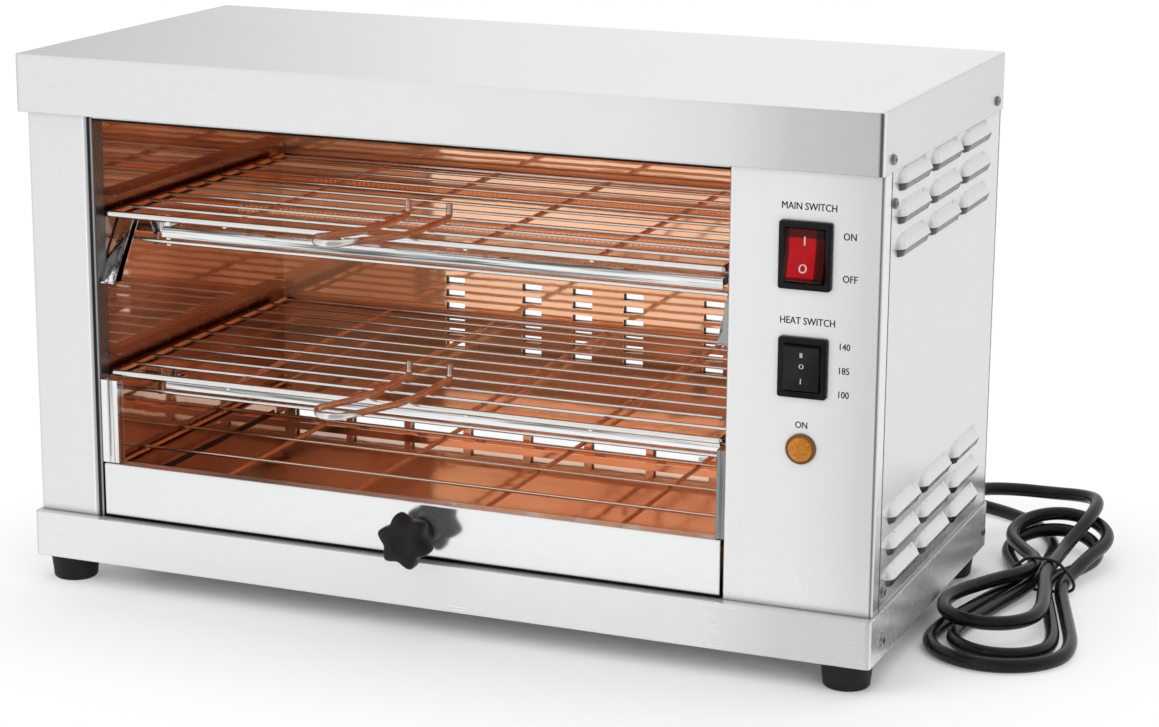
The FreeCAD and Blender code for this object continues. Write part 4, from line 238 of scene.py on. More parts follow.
def speckle_group() -> ShaderTree:
    """Fine moulded or cast grain: a dense small noise and sparse larger marks."""
    shade, given, out = new_group(
        "Fine speckle", {"Vector": ("Vector", None), "Scale": ("Float", 900.0)},
        {"Speckle": "Float", "Marks": "Float"})
    spot = given.outputs["Vector"]
    dense = shade.add("TexNoise", Detail=2.0, Roughness=0.6, Vector=spot, Scale=given.outputs["Scale"])
    sparse = shade.add("TexNoise", Detail=3.0, Roughness=0.6, Vector=spot, Scale=60.0)
    shade.give(out, Speckle=dense, Marks=shade.spread(sparse, 0.0, 1.0, 0.45, 0.75))
    return shade.tree


def edge_shade_group() -> ShaderTree:
    """Sheet edges: painted shade where another sheet is close by, and a normal that rounds the folds."""
    shade, given, out = new_group(
        "Sheet edge shade", {"Reach": ("Float", 0.005), "Fold": ("Float", 0.001)},
        {"Seam": "Float", "Normal": "Vector"})
    near = shade.add("AmbientOcclusion", samples=EDGE_SAMPLES, Distance=given.outputs["Reach"])
    fold = shade.add("Bevel", samples=EDGE_SAMPLES, Radius=given.outputs["Fold"])
    shade.give(out, Seam=shade.spread(near.outputs["AO"], 0.05, 1.0, 0.2, 0.85), Normal=fold)
    return shade.tree


@dataclass(frozen=True)
class Groups:
    """The node groups that several finishes share."""

    brush: ShaderTree
    speckle: ShaderTree
    seam: ShaderTree


class Grain(Enum):
    """The way that brushed streaks run."""

    ALONG_X = (5.0, 1100.0, 1100.0)
    ALONG_Y = (1100.0, 5.0, 1100.0)
    ALONG_Z = (1100.0, 1100.0, 5.0)


@dataclass(frozen=True)
class Line:
    """A band over a sheet: a dark joint, or painted light and shade, such as the painted shadow of a
    fold, a painted highlight, or painted light that falls off.

    The axis is the one that it runs across, from a start in the frame's millimetres. Its stops
    are (millimetres from the start, brightness). A face keeps it to the faces that look along
    that axis.
    """

    axis: str
    start: float
    stops: Pairs
    face: str = ""

    def shade(self, tree: Tree) -> Socket:
        """How bright the sheet is at each place."""
        wide = self.stops[-1][0]
        place = tree.spread(tree.along(self.axis), 0.0, 1.0, self.start * MM, (self.start + wide) * MM)
        band = tree.ramp(place, tuple((away / wide, value) for away, value in self.stops))
        if not self.face:
            return band
        looks = tree.spread(tree.math("ABSOLUTE", tree.facing(self.face)), 0.0, 1.0, 0.6, 0.8)
        return tree.mixed(looks, (*WHITE, 1.0), band)


@dataclass(frozen=True)
class Finish:
    """A material that is built by its name, with lines that run over its colour."""

    name: str
    lines: tuple[Line, ...] = field(default=(), kw_only=True)

    def build(self, groups: Groups) -> Material:
        """Writes the material."""
        material = bpy.data.materials.new(self.name)
        material.use_nodes = True
        shade = Tree(material.node_tree)
        shade.give(material.node_tree.nodes["Principled BSDF"], **self.inputs(shade, groups))
        return material

    def inputs(self, shade: Tree, groups: Groups) -> dict[str, object]:
        """What goes into the shader's inputs, under their names with _ for a space."""
        raise NotImplementedError

    def lined(self, shade: Tree, colour: Socket) -> Socket:
        """A colour with this finish's lines laid over it."""
        for line in self.lines:
            colour = shade.shaded(colour, line.shade(shade))
        return colour


@dataclass(frozen=True)
class Metal(Finish):
    """A metal whose brushed grain gives its gloss: rough runs from its least to its most.

    The haze is the part of its look that isn't metal.
    """

    rough: tuple[float, float] = field(default=(0.1, 0.24), kw_only=True)
    haze: float = field(default=0.0, kw_only=True)

    @staticmethod
    def brushed(shade: Tree, groups: Groups, grain: Socket, cloud: Socket) -> tuple[Socket, Socket]:
        """The streaks along a grain's coordinates and the smudges along a cloud's."""
        brush = shade.add("Group", node_tree=groups.brush, Streak_Vector=grain, Smudge_Vector=cloud)
        return brush.outputs["Streak"], brush.outputs["Smudge"]

    def metal(self, shade: Tree, colour: Socket, gloss: Socket, normal: Socket) -> dict[str, object]:
        """The inputs of a metal with a colour, a gloss from 0 to 1 and a normal."""
        return {"Base_Color": self.lined(shade, colour), "Roughness": shade.spread(gloss, *self.rough),
                "Metallic": 1.0 - self.haze, "Normal": normal}


@dataclass(frozen=True)
class BrushedSteel(Metal):
    """Sheet with a directional grain, faint smudges, a soft gloss, rounded folds, and painted shade at
    joints and wherever another sheet is close by.

    The tones are its darkest and palest grey, each very slightly blue. Faces that look down get
    painted shade, down to under.
    """

    grain: Grain
    tones: tuple[float, float] = (0.85, 0.89)
    bump: float = 0.008
    under: float = 1.0

    def inputs(self, shade: Tree, groups: Groups) -> dict[str, object]:
        """A colour from streaks and smudges, with painted shade near other sheets and on faces that look
        down.
        """
        streak, smudge = self.brushed(shade, groups, shade.turned(self.grain.value),
                                      shade.turned((9.0,) * 3))
        edge = shade.add("Group", node_tree=groups.seam)
        tone = shade.weighed(streak, 0.6, smudge)
        dark, pale = ((value, value + 0.002, value + 0.004) for value in self.tones)
        # Painted shade: darker where another sheet is close by.
        colour = shade.shaded(shade.blended(tone, dark, pale), edge.outputs["Seam"])
        # Painted shade on faces that look down.
        if self.under < 1.0:
            underside_shade = shade.spread(shade.facing("Z"), 1.0, self.under, -0.12, -0.35)
            colour = shade.shaded(colour, underside_shade)
        return self.metal(shade, colour, tone,
                          shade.bump(streak, self.bump, 0.0002, edge.outputs["Normal"]))


@dataclass(frozen=True)
class PolishedSheet(Metal):
    """Bright sheet, stained by heat in clouds, with a slightly uneven gloss."""

    clean: Triple
    stained: Triple
    cloud: float = 11.0
    ripple: float = 0.12

    def inputs(self, shade: Tree, groups: Groups) -> dict[str, object]:
        """A colour between clean and stained by the clouds, which also ripple the surface."""
        streak, smudge = self.brushed(shade, groups, shade.turned((30.0, 600.0, 600.0)),
                                      shade.turned((self.cloud,) * 3, (3.1, 1.7, 0.4)))
        return self.metal(shade, shade.blended(smudge, self.clean, self.stained), streak,
                          shade.bump(smudge, self.ripple, 0.002))


@dataclass(frozen=True)
class PaintedReflectionWire(Metal):
    """Plated rods: those that run to the back get a copper colour, a painted reflection of the warm
    walls, and the ones across stay bright.

    From 60 mm before the front to 20 mm behind it the painted reflection sets in.
    """

    bright: Triple = (0.86, 0.83, 0.8)
    # stained: the copper colour of the painted reflection.
    stained: Triple = (0.6, 0.26, 0.11)
    front: float = -0.085

    def inputs(self, shade: Tree, groups: Groups) -> dict[str, object]:
        """A colour by painted reflection: a rod along Y never faces along Y, and its front end stays
        bright.
        """
        streak, smudge = self.brushed(shade, groups, shade.turned((300.0,) * 3), shade.turned((40.0,) * 3))
        across = shade.spread(shade.math("ABSOLUTE", shade.facing("Y")), 1.0, 0.0, 0.12, 0.4)
        inside = shade.spread(shade.along("Y"), 0.0, 1.0, self.front - 0.06, self.front + 0.02)
        # Painted reflection of the warm walls on the rods that run to the back.
        heat = shade.math("MULTIPLY", across, inside)
        heat = shade.math("MULTIPLY", heat, shade.spread(smudge, 0.75, 1.0))
        return self.metal(shade, shade.blended(heat, self.bright, self.stained), streak,
                          shade.bump(smudge, 0.08, 0.001))


@dataclass(frozen=True)
class Chrome(Metal):
    """Polished strip whose colour is a painted reflection of a studio in long bands of white, grey and
    black.
    """

    rough: tuple[float, float] = field(default=(0.04, 0.14), kw_only=True)
    bands: Triple = (7.0, 7.0, 420.0)
    stops: Pairs = ((0.0, 0.03), (0.3, 0.16), (0.45, 0.5), (0.6, 0.86), (1.0, 0.95))

    def inputs(self, shade: Tree, groups: Groups) -> dict[str, object]:
        """A colour in bands, a painted reflection, which also bend the surface."""
        streak, smudge = self.brushed(shade, groups, shade.turned(self.bands, (0.3, 0.0, 2.2)),
                                      shade.turned((60.0,) * 3))
        return self.metal(shade, shade.ramp(streak, self.stops), smudge, shade.bump(streak, 0.1, 0.0006))


@dataclass(frozen=True)
class Moulded(Finish):
    """Plastic, rubber or ceramic with a fine moulded grain and a few dull marks."""

    colour: Triple
    worn: Triple
    rough: tuple[float, float] = (0.3, 0.45)
    scale: float = 1200.0
    bump: float = 0.12
    sheen: float = 0.5

    def inputs(self, shade: Tree, groups: Groups) -> dict[str, object]:
        """A colour and gloss by marks and grain."""
        speckle = shade.add("Group", node_tree=groups.speckle, Scale=self.scale, Vector=shade.turned())
        grain = speckle.outputs["Speckle"]
        tone = shade.weighed(speckle.outputs["Marks"], 0.7, grain)
        return {"Base_Color": shade.blended(tone, self.colour, self.worn),
                "Roughness": shade.spread(tone, *self.rough), "Specular_IOR_Level": self.sheen,
                "Normal": shade.bump(grain, self.bump, 0.0002)}


@dataclass(frozen=True)
class Glowing(Finish):
    """A lit translucent moulding or hot wire: its colour, with light of its own that varies over it.

    Its cells are how far its facets dim. Its lines darken a rim round the lit part, partly an unlit
    edge and partly painted shade from the bezel.
    """

    colour: Triple
    light: Triple
    strength: float
    rough: float = 0.2
    scale: float = 300.0
    coat: float = 0.6
    sheen: float = 0.5
    cells: float = 0.3

    def inputs(self, shade: Tree, groups: Groups) -> dict[str, object]:
        """A colour and a light that dim together from facet to facet."""
        speckle = shade.add("Group", node_tree=groups.speckle, Scale=self.scale, Vector=shade.turned())
        dimmed = []
        for full in (self.colour, self.light):
            dim = tuple((1.0 - self.cells) * part for part in full)
            dimmed.append(self.lined(shade, shade.blended(speckle.outputs["Speckle"], full, dim)))
        return {"Base_Color": dimmed[0], "Emission_Color": dimmed[1], "Emission_Strength": self.strength,
                "Specular_IOR_Level": self.sheen, "Roughness": self.rough, "Coat_Weight": self.coat,
                "Coat_Roughness": 0.06}


@dataclass(frozen=True)
class Quartz(Finish):
    """Milky quartz glass with a faint warm cast."""

    def inputs(self, shade: Tree, groups: Groups) -> dict[str, object]:
        """A colour and gloss that vary along the tube."""
        speckle = shade.add("Group", node_tree=groups.speckle, Scale=240.0,
                            Vector=shade.turned((0.15, 1.0, 1.0)))
        tone = shade.blended(speckle.outputs["Speckle"], (0.98, 0.86, 0.76), (0.9, 0.7, 0.58))
        return {"Base_Color": tone, "Roughness": shade.spread(speckle.outputs["Marks"], 0.06, 0.22),
                "Transmission_Weight": 0.85, "IOR": 1.46}


def case_finishes() -> list[Finish]:
    """The brushed sheets of the case."""
    side_seam = Line("Y", CASE_SHIFT - 107.6, ((0.0, 0.1), (1.0, 0.12), (1.8, 1.0), (4.0, 1.0)))
    # corner: painted shade and a painted highlight at the cover's right fold, on faces that look along Y.
    corner = Line("X", 267.0, ((0.0, 1.0), (0.4, 0.95), (0.9, 0.3), (2.3, 0.25), (2.7, 1.0),
                               (3.0, 1.1)), "Y")
    # A painted highlight at the front edge of the cover's sides, then painted shade that darkens them
    # towards the back.
    side_glint_and_shade = Line("Y", CASE_SHIFT - 130.2, ((0.0, 1.12), (3.0, 1.12), (3.6, 0.92), (262.0, 0.87)), "X")
    # Painted shade: the cover's front and back faces darken towards the right end.
    cover_end_shade = Line("X", 130.0, ((0.0, 1.0), (50.0, 0.96), (90.0, 0.78), (140.0, 0.74)), "Y")
    # Painted shade: the base's front and back faces darken towards the right end.
    base_end_shade = Line("X", 110.0, ((0.0, 1.0), (60.0, 0.97), (110.0, 0.8), (162.0, 0.76)), "Y")
    # A dark joint at the fascia's right fold with a painted highlight beside it.
    panel_fold_joint_and_glint = Line("X", 265.9, ((0.0, 1.0), (0.5, 0.9), (0.9, 0.4), (1.5, 0.4), (1.9, 1.1),
                                   (2.6, 1.1)), "Y")
    # Painted shade: the fascia darkens towards its right end.
    panel_end_shade = Line("X", 225.0, ((0.0, 1.0), (22.0, 0.93), (36.0, 0.86), (46.0, 0.86)), "Y")
    # The post's inner fold: painted highlights and painted shade round a dark seam.
    post_fold_shade_and_glint = Line("X", -230.6, ((0.0, 1.0), (0.7, 1.25), (1.2, 0.75), (2.9, 0.4), (3.3, 0.03),
                                   (5.0, 0.02), (5.5, 0.5), (5.9, 0.9), (6.2, 0.3), (6.6, 0.3)))
    dull = {"rough": (0.2, 0.3), "haze": 0.1}
    return [
        BrushedSteel("brushed_long", Grain.ALONG_X, **dull),
        BrushedSteel("brushed_cover", Grain.ALONG_X, **dull, lines=(corner, side_glint_and_shade, cover_end_shade)),
        BrushedSteel("brushed_base", Grain.ALONG_X, rough=(0.2, 0.3), haze=0.35, lines=(base_end_shade,)),
        # under paints shade on the faces of the side panels that look down.
        BrushedSteel("brushed_side", Grain.ALONG_Y, (0.83, 0.87), under=0.12, **dull, lines=(side_seam,)),
        BrushedSteel("brushed_up", Grain.ALONG_Z, (0.93, 0.96), **dull, lines=(panel_fold_joint_and_glint, panel_end_shade)),
        BrushedSteel("brushed_post", Grain.ALONG_Z, **dull, lines=(post_fold_shade_and_glint,)),
        BrushedSteel("satin_front", Grain.ALONG_X, (0.86, 0.9), 0.004, rough=(0.08, 0.16), haze=0.1),
    ]


def deck_finishes() -> list[Finish]:
    """The polished sheets, strips and wires of the decks, and the small metal parts."""
    front_shade = Line("Y", CASE_SHIFT - 120.0, ((0.0, 0.02), (11.0, 0.03), (16.0, 1.0), (20.0, 1.0)))
    # Painted shade: the floor darkens towards the left wall.
    floor_left_shade = Line("X", -224.0, ((0.0, 0.62), (50.0, 0.66), (110.0, 1.0), (120.0, 1.0)))
    # Painted reflection: uprights and braces right of the middle are painted dark, as if mirroring the
    # dark interior.
    upright_right_dark_reflection = Line("X", 0.0, ((0.0, 1.0), (20.0, 0.3), (30.0, 0.3)))
    brace_right_dark_reflection = Line("X", 0.0, ((0.0, 1.0), (20.0, 0.4), (30.0, 0.4)))
    return [
        # The copper colour of the cavity's sheets and runners is partly painted warm light from the
        # heaters.
        PolishedSheet("warm_floor", (0.96, 0.6, 0.4), (0.86, 0.43, 0.25), ripple=0.08,
                      rough=(0.04, 0.12), haze=0.06, lines=(front_shade, floor_left_shade)),
        PolishedSheet("warm_ceiling", (0.92, 0.56, 0.38), (0.82, 0.42, 0.27), ripple=0.06,
                      rough=(0.05, 0.14), haze=0.1, lines=(front_shade,)),
        # Painted light and shade: a lit copy for the right and rear walls, a shaded copy for the left
        # wall.
        PolishedSheet("warm_bright", (0.98, 0.65, 0.44), (0.9, 0.49, 0.3), ripple=0.05,
                      rough=(0.03, 0.08), haze=0.23),
        PolishedSheet("warm_dark", (0.7, 0.43, 0.31), (0.5, 0.27, 0.18), ripple=0.05,
                      rough=(0.02, 0.06), haze=0.09),
        PolishedSheet("warm_runner", (0.5, 0.29, 0.2), (0.34, 0.17, 0.11), rough=(0.16, 0.3)),
        # The bands of every chrome strip are a painted reflection of a studio.
        Chrome("mirror_strip"),
        Chrome("mirror_upright", bands=(260.0, 200.0, 4.0), lines=(upright_right_dark_reflection,),
               stops=((0.0, 0.2), (0.3, 0.5), (0.42, 0.84), (0.6, 0.95), (1.0, 0.97))),
        Chrome("mirror_brace", bands=(260.0, 200.0, 4.0), lines=(brace_right_dark_reflection,),
               stops=((0.0, 0.04), (0.26, 0.1), (0.36, 0.5), (0.48, 0.92), (1.0, 0.97))),
        PaintedReflectionWire("bright_wire", stained=(0.82, 0.4, 0.2)),
        PaintedReflectionWire("rack_wire", (0.8, 0.62, 0.5), (0.86, 0.42, 0.2), -0.2, lines=(front_shade,)),
        PaintedReflectionWire("handle_wire", (0.9, 0.86, 0.82), (0.8, 0.46, 0.29), -0.105),
        PolishedSheet("screw_steel", (0.4, 0.405, 0.41), (0.2, 0.205, 0.21), 200.0, rough=(0.2, 0.34)),
        PolishedSheet("brass", (0.86, 0.66, 0.3), (0.66, 0.48, 0.2), 150.0, rough=(0.18, 0.34)),
        PolishedSheet("nickel_pin", (0.8, 0.79, 0.76), (0.66, 0.64, 0.6), 150.0, rough=(0.12, 0.24)),
    ]


def moulded_finishes() -> list[Finish]:
    """Plastics, rubber, ceramic and print, the lit parts and the quartz."""
    # The red rocker's rim is darkened: partly its unlit edge, partly painted shade from the bezel.
    window_rim_shade = (
        Line("X", 214.4, ((0.0, 0.1), (1.0, 0.13), (1.8, 1.0), (16.2, 1.0), (17.0, 0.16), (19.0, 0.1))),
        Line("Z", 234.0, ((0.0, 0.14), (1.2, 0.2), (2.0, 1.0), (22.6, 1.0), (23.4, 0.2), (25.0, 0.14))))
    return [
        Moulded("black_plastic", (0.008, 0.008, 0.009), (0.018, 0.018, 0.02), (0.3, 0.44), sheen=0.14),
        Moulded("knob_plastic", (0.008, 0.008, 0.009), (0.02, 0.02, 0.022), (0.34, 0.48), bump=0.2,
                sheen=0.2),
        Moulded("bezel_plastic", (0.006, 0.006, 0.007), (0.014, 0.014, 0.016), (0.2, 0.32), sheen=0.14),
        Moulded("rocker_black", (0.007, 0.007, 0.008), (0.016, 0.016, 0.018), (0.16, 0.26), sheen=0.22),
        Moulded("foot_rubber", (0.008, 0.008, 0.008), (0.02, 0.02, 0.019), (0.5, 0.68), bump=0.3,
                sheen=0.25),
        Moulded("cord_rubber", (0.005, 0.005, 0.006), (0.012, 0.012, 0.014), (0.22, 0.34), 1800.0,
                sheen=0.3),
        Moulded("tie_plastic", (0.012, 0.012, 0.013), (0.03, 0.03, 0.032), (0.3, 0.44), sheen=0.35),
        Moulded("ceramic", (0.78, 0.75, 0.69), (0.62, 0.56, 0.48), (0.45, 0.65), bump=0.3),
        Moulded("lead_sleeve", (0.74, 0.71, 0.62), (0.6, 0.56, 0.47), (0.5, 0.7), bump=0.4),
        Moulded("block_white", (0.78, 0.77, 0.72), (0.66, 0.64, 0.58), (0.4, 0.55)),
        Moulded("print_grey", (0.012, 0.012, 0.014), (0.024, 0.024, 0.027), (0.4, 0.6), sheen=0.2),
        Moulded("print_white", (0.86, 0.86, 0.84), (0.7, 0.7, 0.68), (0.3, 0.5)),
        Moulded("lamp_ring", (0.2, 0.085, 0.014), (0.1, 0.042, 0.008), (0.3, 0.44), sheen=0.3),
        Glowing("red_rocker", (0.34, 0.002, 0.005), (0.9, 0.003, 0.012), 0.17, coat=0.0, sheen=0.2,
                lines=window_rim_shade),
        Glowing("amber_lens", (0.62, 0.2, 0.014), (1.0, 0.4, 0.04), 0.26, scale=520.0, coat=0.2,
                sheen=0.3, cells=0.85),
        Glowing("hot_filament", (0.4, 0.14, 0.05), (1.0, 0.42, 0.14), 1.4, rough=0.5),
        Quartz("quartz"),
    ]


class FinishBook:
    """Builds every finish once and hands it out by name."""

    def __init__(self) -> None:
        """Writes the shared groups and all materials."""
        groups = Groups(brush_group(), speckle_group(), edge_shade_group())
        finishes = [*case_finishes(), *deck_finishes(), *moulded_finishes()]
        self.made = {finish.name: finish.build(groups) for finish in finishes}

    def __getitem__(self, name: str) -> Material:
        """The finished material of that name."""
        return self.made[name]


# Surfaces


def add_mesh(name: str, points: np.ndarray, faces: list[list[int]], smooth: bool = True) -> Piece:
    """Puts points and faces into a new mesh object at the origin."""
    mesh = bpy.data.meshes.new(name)
    mesh.from_pydata(points.reshape(-1, 3).tolist(), [], faces)
    mesh.validate()
    mesh.polygons.foreach_set("use_smooth", np.full(len(mesh.polygons), smooth))
    return shown(name, mesh)


def ring_faces(rows: int, columns: int, wrap_rows: bool = False) -> list[list[int]]:
    """Quads between the neighbours of rows of closed rings, worked out as whole index arrays."""
    row = np.arange(rows if wrap_rows else rows - 1)[:, None]
    column = np.arange(columns)[None, :]
    here, after = row * columns, (row + 1) % rows * columns
    beside = (column + 1) % columns
    quads = np.stack([here + column, here + beside, after + beside, after + column], -1)
    return quads.reshape(-1, 4).tolist()


def turned_surface(name: str, profile: np.ndarray, middle: Vector, axis: Vector, steps: int = 64,
                   wave: np.ndarray | None = None) -> Piece:
    """Turns a profile of (radius, height) round an axis.

    A point is middle + height * axis + radius * wave(angle) * (cos * across + sin * up).

    Args:
        name: The piece's name.
        profile: Radii and heights, closed on the axis at both ends.
        middle: Where height is nought.
        axis: The way that height runs.
        steps: Sides of the ring.
        wave: Factors on the radius, one row for each profile point.

    Returns:
        The closed surface.
    """
    along = np.array(axis.normalized())
    across = np.array(axis.orthogonal().normalized())
    up = np.cross(along, across)
    angle = np.linspace(0.0, TAU, steps, endpoint=False)
    radius = np.repeat(profile[:, :1], steps, axis=1) * (1.0 if wave is None else wave)
    ring = np.cos(angle)[None, :, None] * across + np.sin(angle)[None, :, None] * up
    points = np.array(middle) + profile[:, 1, None, None] * along + radius[..., None] * ring
    faces = ring_faces(len(profile), steps)
    faces.append(list(range(steps))[::-1])
    faces.append(list(range((len(profile) - 1) * steps, len(profile) * steps)))
    return outward(add_mesh(name, points, faces))


def outward(item: Piece) -> Piece:
    """Merges doubles and turns every face outwards."""
    shape = bmesh.new()
    shape.from_mesh(item.data)
    bmesh.ops.remove_doubles(shape, verts=shape.verts, dist=1e-7)
    bmesh.ops.recalc_face_normals(shape, faces=shape.faces)
    shape.to_mesh(item.data)
    shape.free()
    return item


def carried_tube(name: str, path: np.ndarray, radius: float, sides: int, closed: bool = False) -> Piece:
    """Carries a circle along a path: at each point it lies across the path's direction.

    Args:
        name: The piece's name.
        path: The points that its middle follows.
        radius: The circle's radius.
        sides: Its corners.
        closed: Whether the path ends where it starts.

    Returns:
        The tube, closed at its ends.
    """
    ahead = np.roll(path, -1, 0) - np.roll(path, 1, 0)
    if not closed:
        ahead[0], ahead[-1] = path[1] - path[0], path[-1] - path[-2]
    ahead /= np.linalg.norm(ahead, axis=1, keepdims=True)
    guide = np.array([0.31, 0.23, 0.92])
    across = np.cross(ahead, guide)
    across /= np.linalg.norm(across, axis=1, keepdims=True)
    up = np.cross(ahead, across)
    angle = np.linspace(0.0, TAU, sides, endpoint=False)
    ring = np.cos(angle)[None, :, None] * across[:, None] + np.sin(angle)[None, :, None] * up[:, None]
    points = path[:, None] + radius * ring
    faces = ring_faces(len(path), sides, closed)
    if not closed:
        faces.append(list(range(sides)))
        faces.append(list(range((len(path) - 1) * sides, len(path) * sides))[::-1])
    return outward(add_mesh(name, points, faces))


def smooth_loop(corners: np.ndarray, steps: int) -> np.ndarray:
    """A closed uniform cubic B-spline of corners.

    Between corners i and i + 1, at part t, a point is the sum over k from -1 to 2 of
    w_k * corner(i + k) / 6, with the weights (1 - t)^3, 3t^3 - 6t^2 + 4,
    -3t^3 + 3t^2 + 3t + 1 and t^3.

    Args:
        corners: The corners, one row each.
        steps: Points from one corner to the next.

    Returns:
        The points, one row each.
    """
    share = np.arange(len(corners) * steps) / steps
    start = np.floor(share).astype(int)
    part = (share - start)[:, None]
    weights = ((1 - part) ** 3, 3 * part ** 3 - 6 * part ** 2 + 4,
               -3 * part ** 3 + 3 * part ** 2 + 3 * part + 1, part ** 3)
    near = (corners[(start + k) % len(corners)] for k in (-1, 0, 1, 2))
    return sum(weight * corner for weight, corner in zip(weights, near)) / 6.0


def softened(node: str, name: str, width: float, segments: int = 3) -> Piece:
    """A merged copy of a CAD node whose sharp edges are rounded by a live bevel.

    Args:
        node: The CAD node that the piece stands for.
        name: The new piece's name.
        width: The bevel's width in metres.
        segments: Its segments.

    Returns:
        The new piece.
    """
    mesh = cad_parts[node].data.copy()
    mesh.materials.clear()
    item = shown(name, mesh)
    shape = bmesh.new()
    shape.from_mesh(mesh)
    bmesh.ops.remove_doubles(shape, verts=shape.verts, dist=1e-6)
    bmesh.ops.dissolve_limit(shape, angle_limit=FLAT_ANGLE, verts=shape.verts, edges=shape.edges)
    bmesh.ops.recalc_face_normals(shape, faces=shape.faces)
    shape.to_mesh(mesh)
    shape.free()
    mesh.polygons.foreach_set("use_smooth", np.full(len(mesh.polygons), True))
    bevel = item.modifiers.new("rounded", "BEVEL")
    bevel.width = width
    bevel.segments = segments
    bevel.limit_method = "ANGLE"
    bevel.angle_limit = SHARP_ANGLE
    bevel.harden_normals = True
    return item


def flat_text(name: str, words: str, height: float, middle: Vector, turn: Matrix | None = None,
              weight: float = 0.0) -> Piece:
    """Words as a thin mesh that faces the front, centred on a place.

    Args:
        name: The piece's name.
        words: What it says.
        height: Height of its capitals.
        middle: Where its middle lies.
        turn: A rotation about that middle, if it doesn't stand upright.
        weight: How far the words are struck again to each side, for a bolder stroke.

    Returns:
        The mesh object.
    """
    curve = bpy.data.curves.new(name, "FONT")
    curve.body = words
    curve.size = height / CAPITALS
    curve.align_x, curve.align_y = "CENTER", "CENTER"
    curve.extrude = PRINT_THICK * MM
    curve.resolution_u = 3
    maker = shown(name + "_maker", curve)
    bpy.context.view_layer.update()
    mesh = bpy.data.meshes.new_from_object(maker.evaluated_get(bpy.context.evaluated_depsgraph_get()))
    bpy.data.objects.remove(maker)
    mesh.name = name
    placed = Matrix.Translation(middle) @ (turn or Matrix())
    stand = Matrix.Rotation(math.pi / 2, 4, "X") @ Matrix.Diagonal((NARROWED, 1.0, 1.0, 1.0))
    struck = bmesh.new()
    for side in (-weight, weight):
        copy = mesh.copy()
        copy.transform(placed @ Matrix.Translation((side, 0.0, 0.0)) @ stand)
        struck.from_mesh(copy)
        bpy.data.meshes.remove(copy)
    struck.to_mesh(mesh)
    struck.free()
    return shown(name, mesh)


def finish_piece(item: Piece, body: str, material: Material,
                 stands_for: tuple[str, ...] = ()) -> Piece:
    """Dresses a piece and sets it on its body and the nodes that it stands for."""
    item.data.materials.clear()
    item.data.materials.append(material)
    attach(item, body)
    if stands_for:
        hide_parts(*stands_for)
    LOG.info("piece %s rides on %s", item.name, body)
    return item


# Sub-assemblies


@dataclass
class Casing:
    """The sheets, the runners and every other CAD node that only needs its finish."""

    dress: dict[str, tuple[str, ...]] = field(default_factory=lambda: {
        "brushed_long": ("front_lintel", "rear_panel"),
        "brushed_base": ("base_pan",),
        "brushed_cover": ("top_cover",),
        "brushed_side": ("left_side_panel", "right_side_panel"),
        "brushed_up": ("control_fascia",),
        "brushed_post": ("left_front_post",),
        "satin_front": ("tray_front",),
        "warm_bright": ("cavity_right_wall", "cavity_rear_wall"),
        "warm_ceiling": ("cavity_ceiling",),
        "warm_floor": ("crumb_tray", "cavity_floor"),
        "warm_dark": ("cavity_left_wall",),
        "warm_runner": ("upper_left_runner", "upper_right_runner", "lower_left_runner",
                        "lower_right_runner", "rack_ledges"),
        "mirror_strip": ("upper_cross_bar", "lower_cross_bar"),
        "mirror_brace": ("upper_braces",),
        "mirror_upright": ("lower_uprights", "bar_brackets"),
        "bright_wire": ("upper_grid", "lower_grid", "guard_rods"),
        "handle_wire": ("upper_grid_handle", "lower_grid_handle"),
        "rack_wire": ("bottom_rack",),
        "screw_steel": ("casing_screws", "tray_stud"),
        "foot_rubber": ("feet", "strain_relief", "inner_cable"),
        "black_plastic": ("cable_gland", "plug_body"),
        "bezel_plastic": ("main_housing", "selector_housing"),
        "rocker_black": ("selector_rocker",),
        "red_rocker": ("main_rocker",),
        "knob_plastic": ("tray_knob",),
        "lamp_ring": ("lamp_housing",),
        "amber_lens": ("lamp_lens",),
        "quartz": ("quartz_tubes",),
        "ceramic": ("tube_caps",),
        "hot_filament": ("tube_filaments",),
        "brass": ("blade_terminals", "terminal_screws"),
        "nickel_pin": ("plug_pins",),
        "lead_sleeve": ("wiring_loom",),
        "block_white": ("terminal_block",),
        "cord_rubber": ("cord_lead", "cord_hank", "cord_tail"),
        "tie_plastic": ("cord_tie",),
    })

    def build(self, finishes: FinishBook) -> None:
        """Gives every CAD node its finish."""
        dressed = set()
        for finish, nodes in self.dress.items():
            for node in nodes:
                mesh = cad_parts[node].data
                mesh.materials.clear()
                mesh.materials.append(finishes[finish])
                dressed.add(node)
        bare = sorted(set(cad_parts) - dressed)
        LOG.info("%d CAD nodes dressed, left bare: %s", len(dressed), bare)


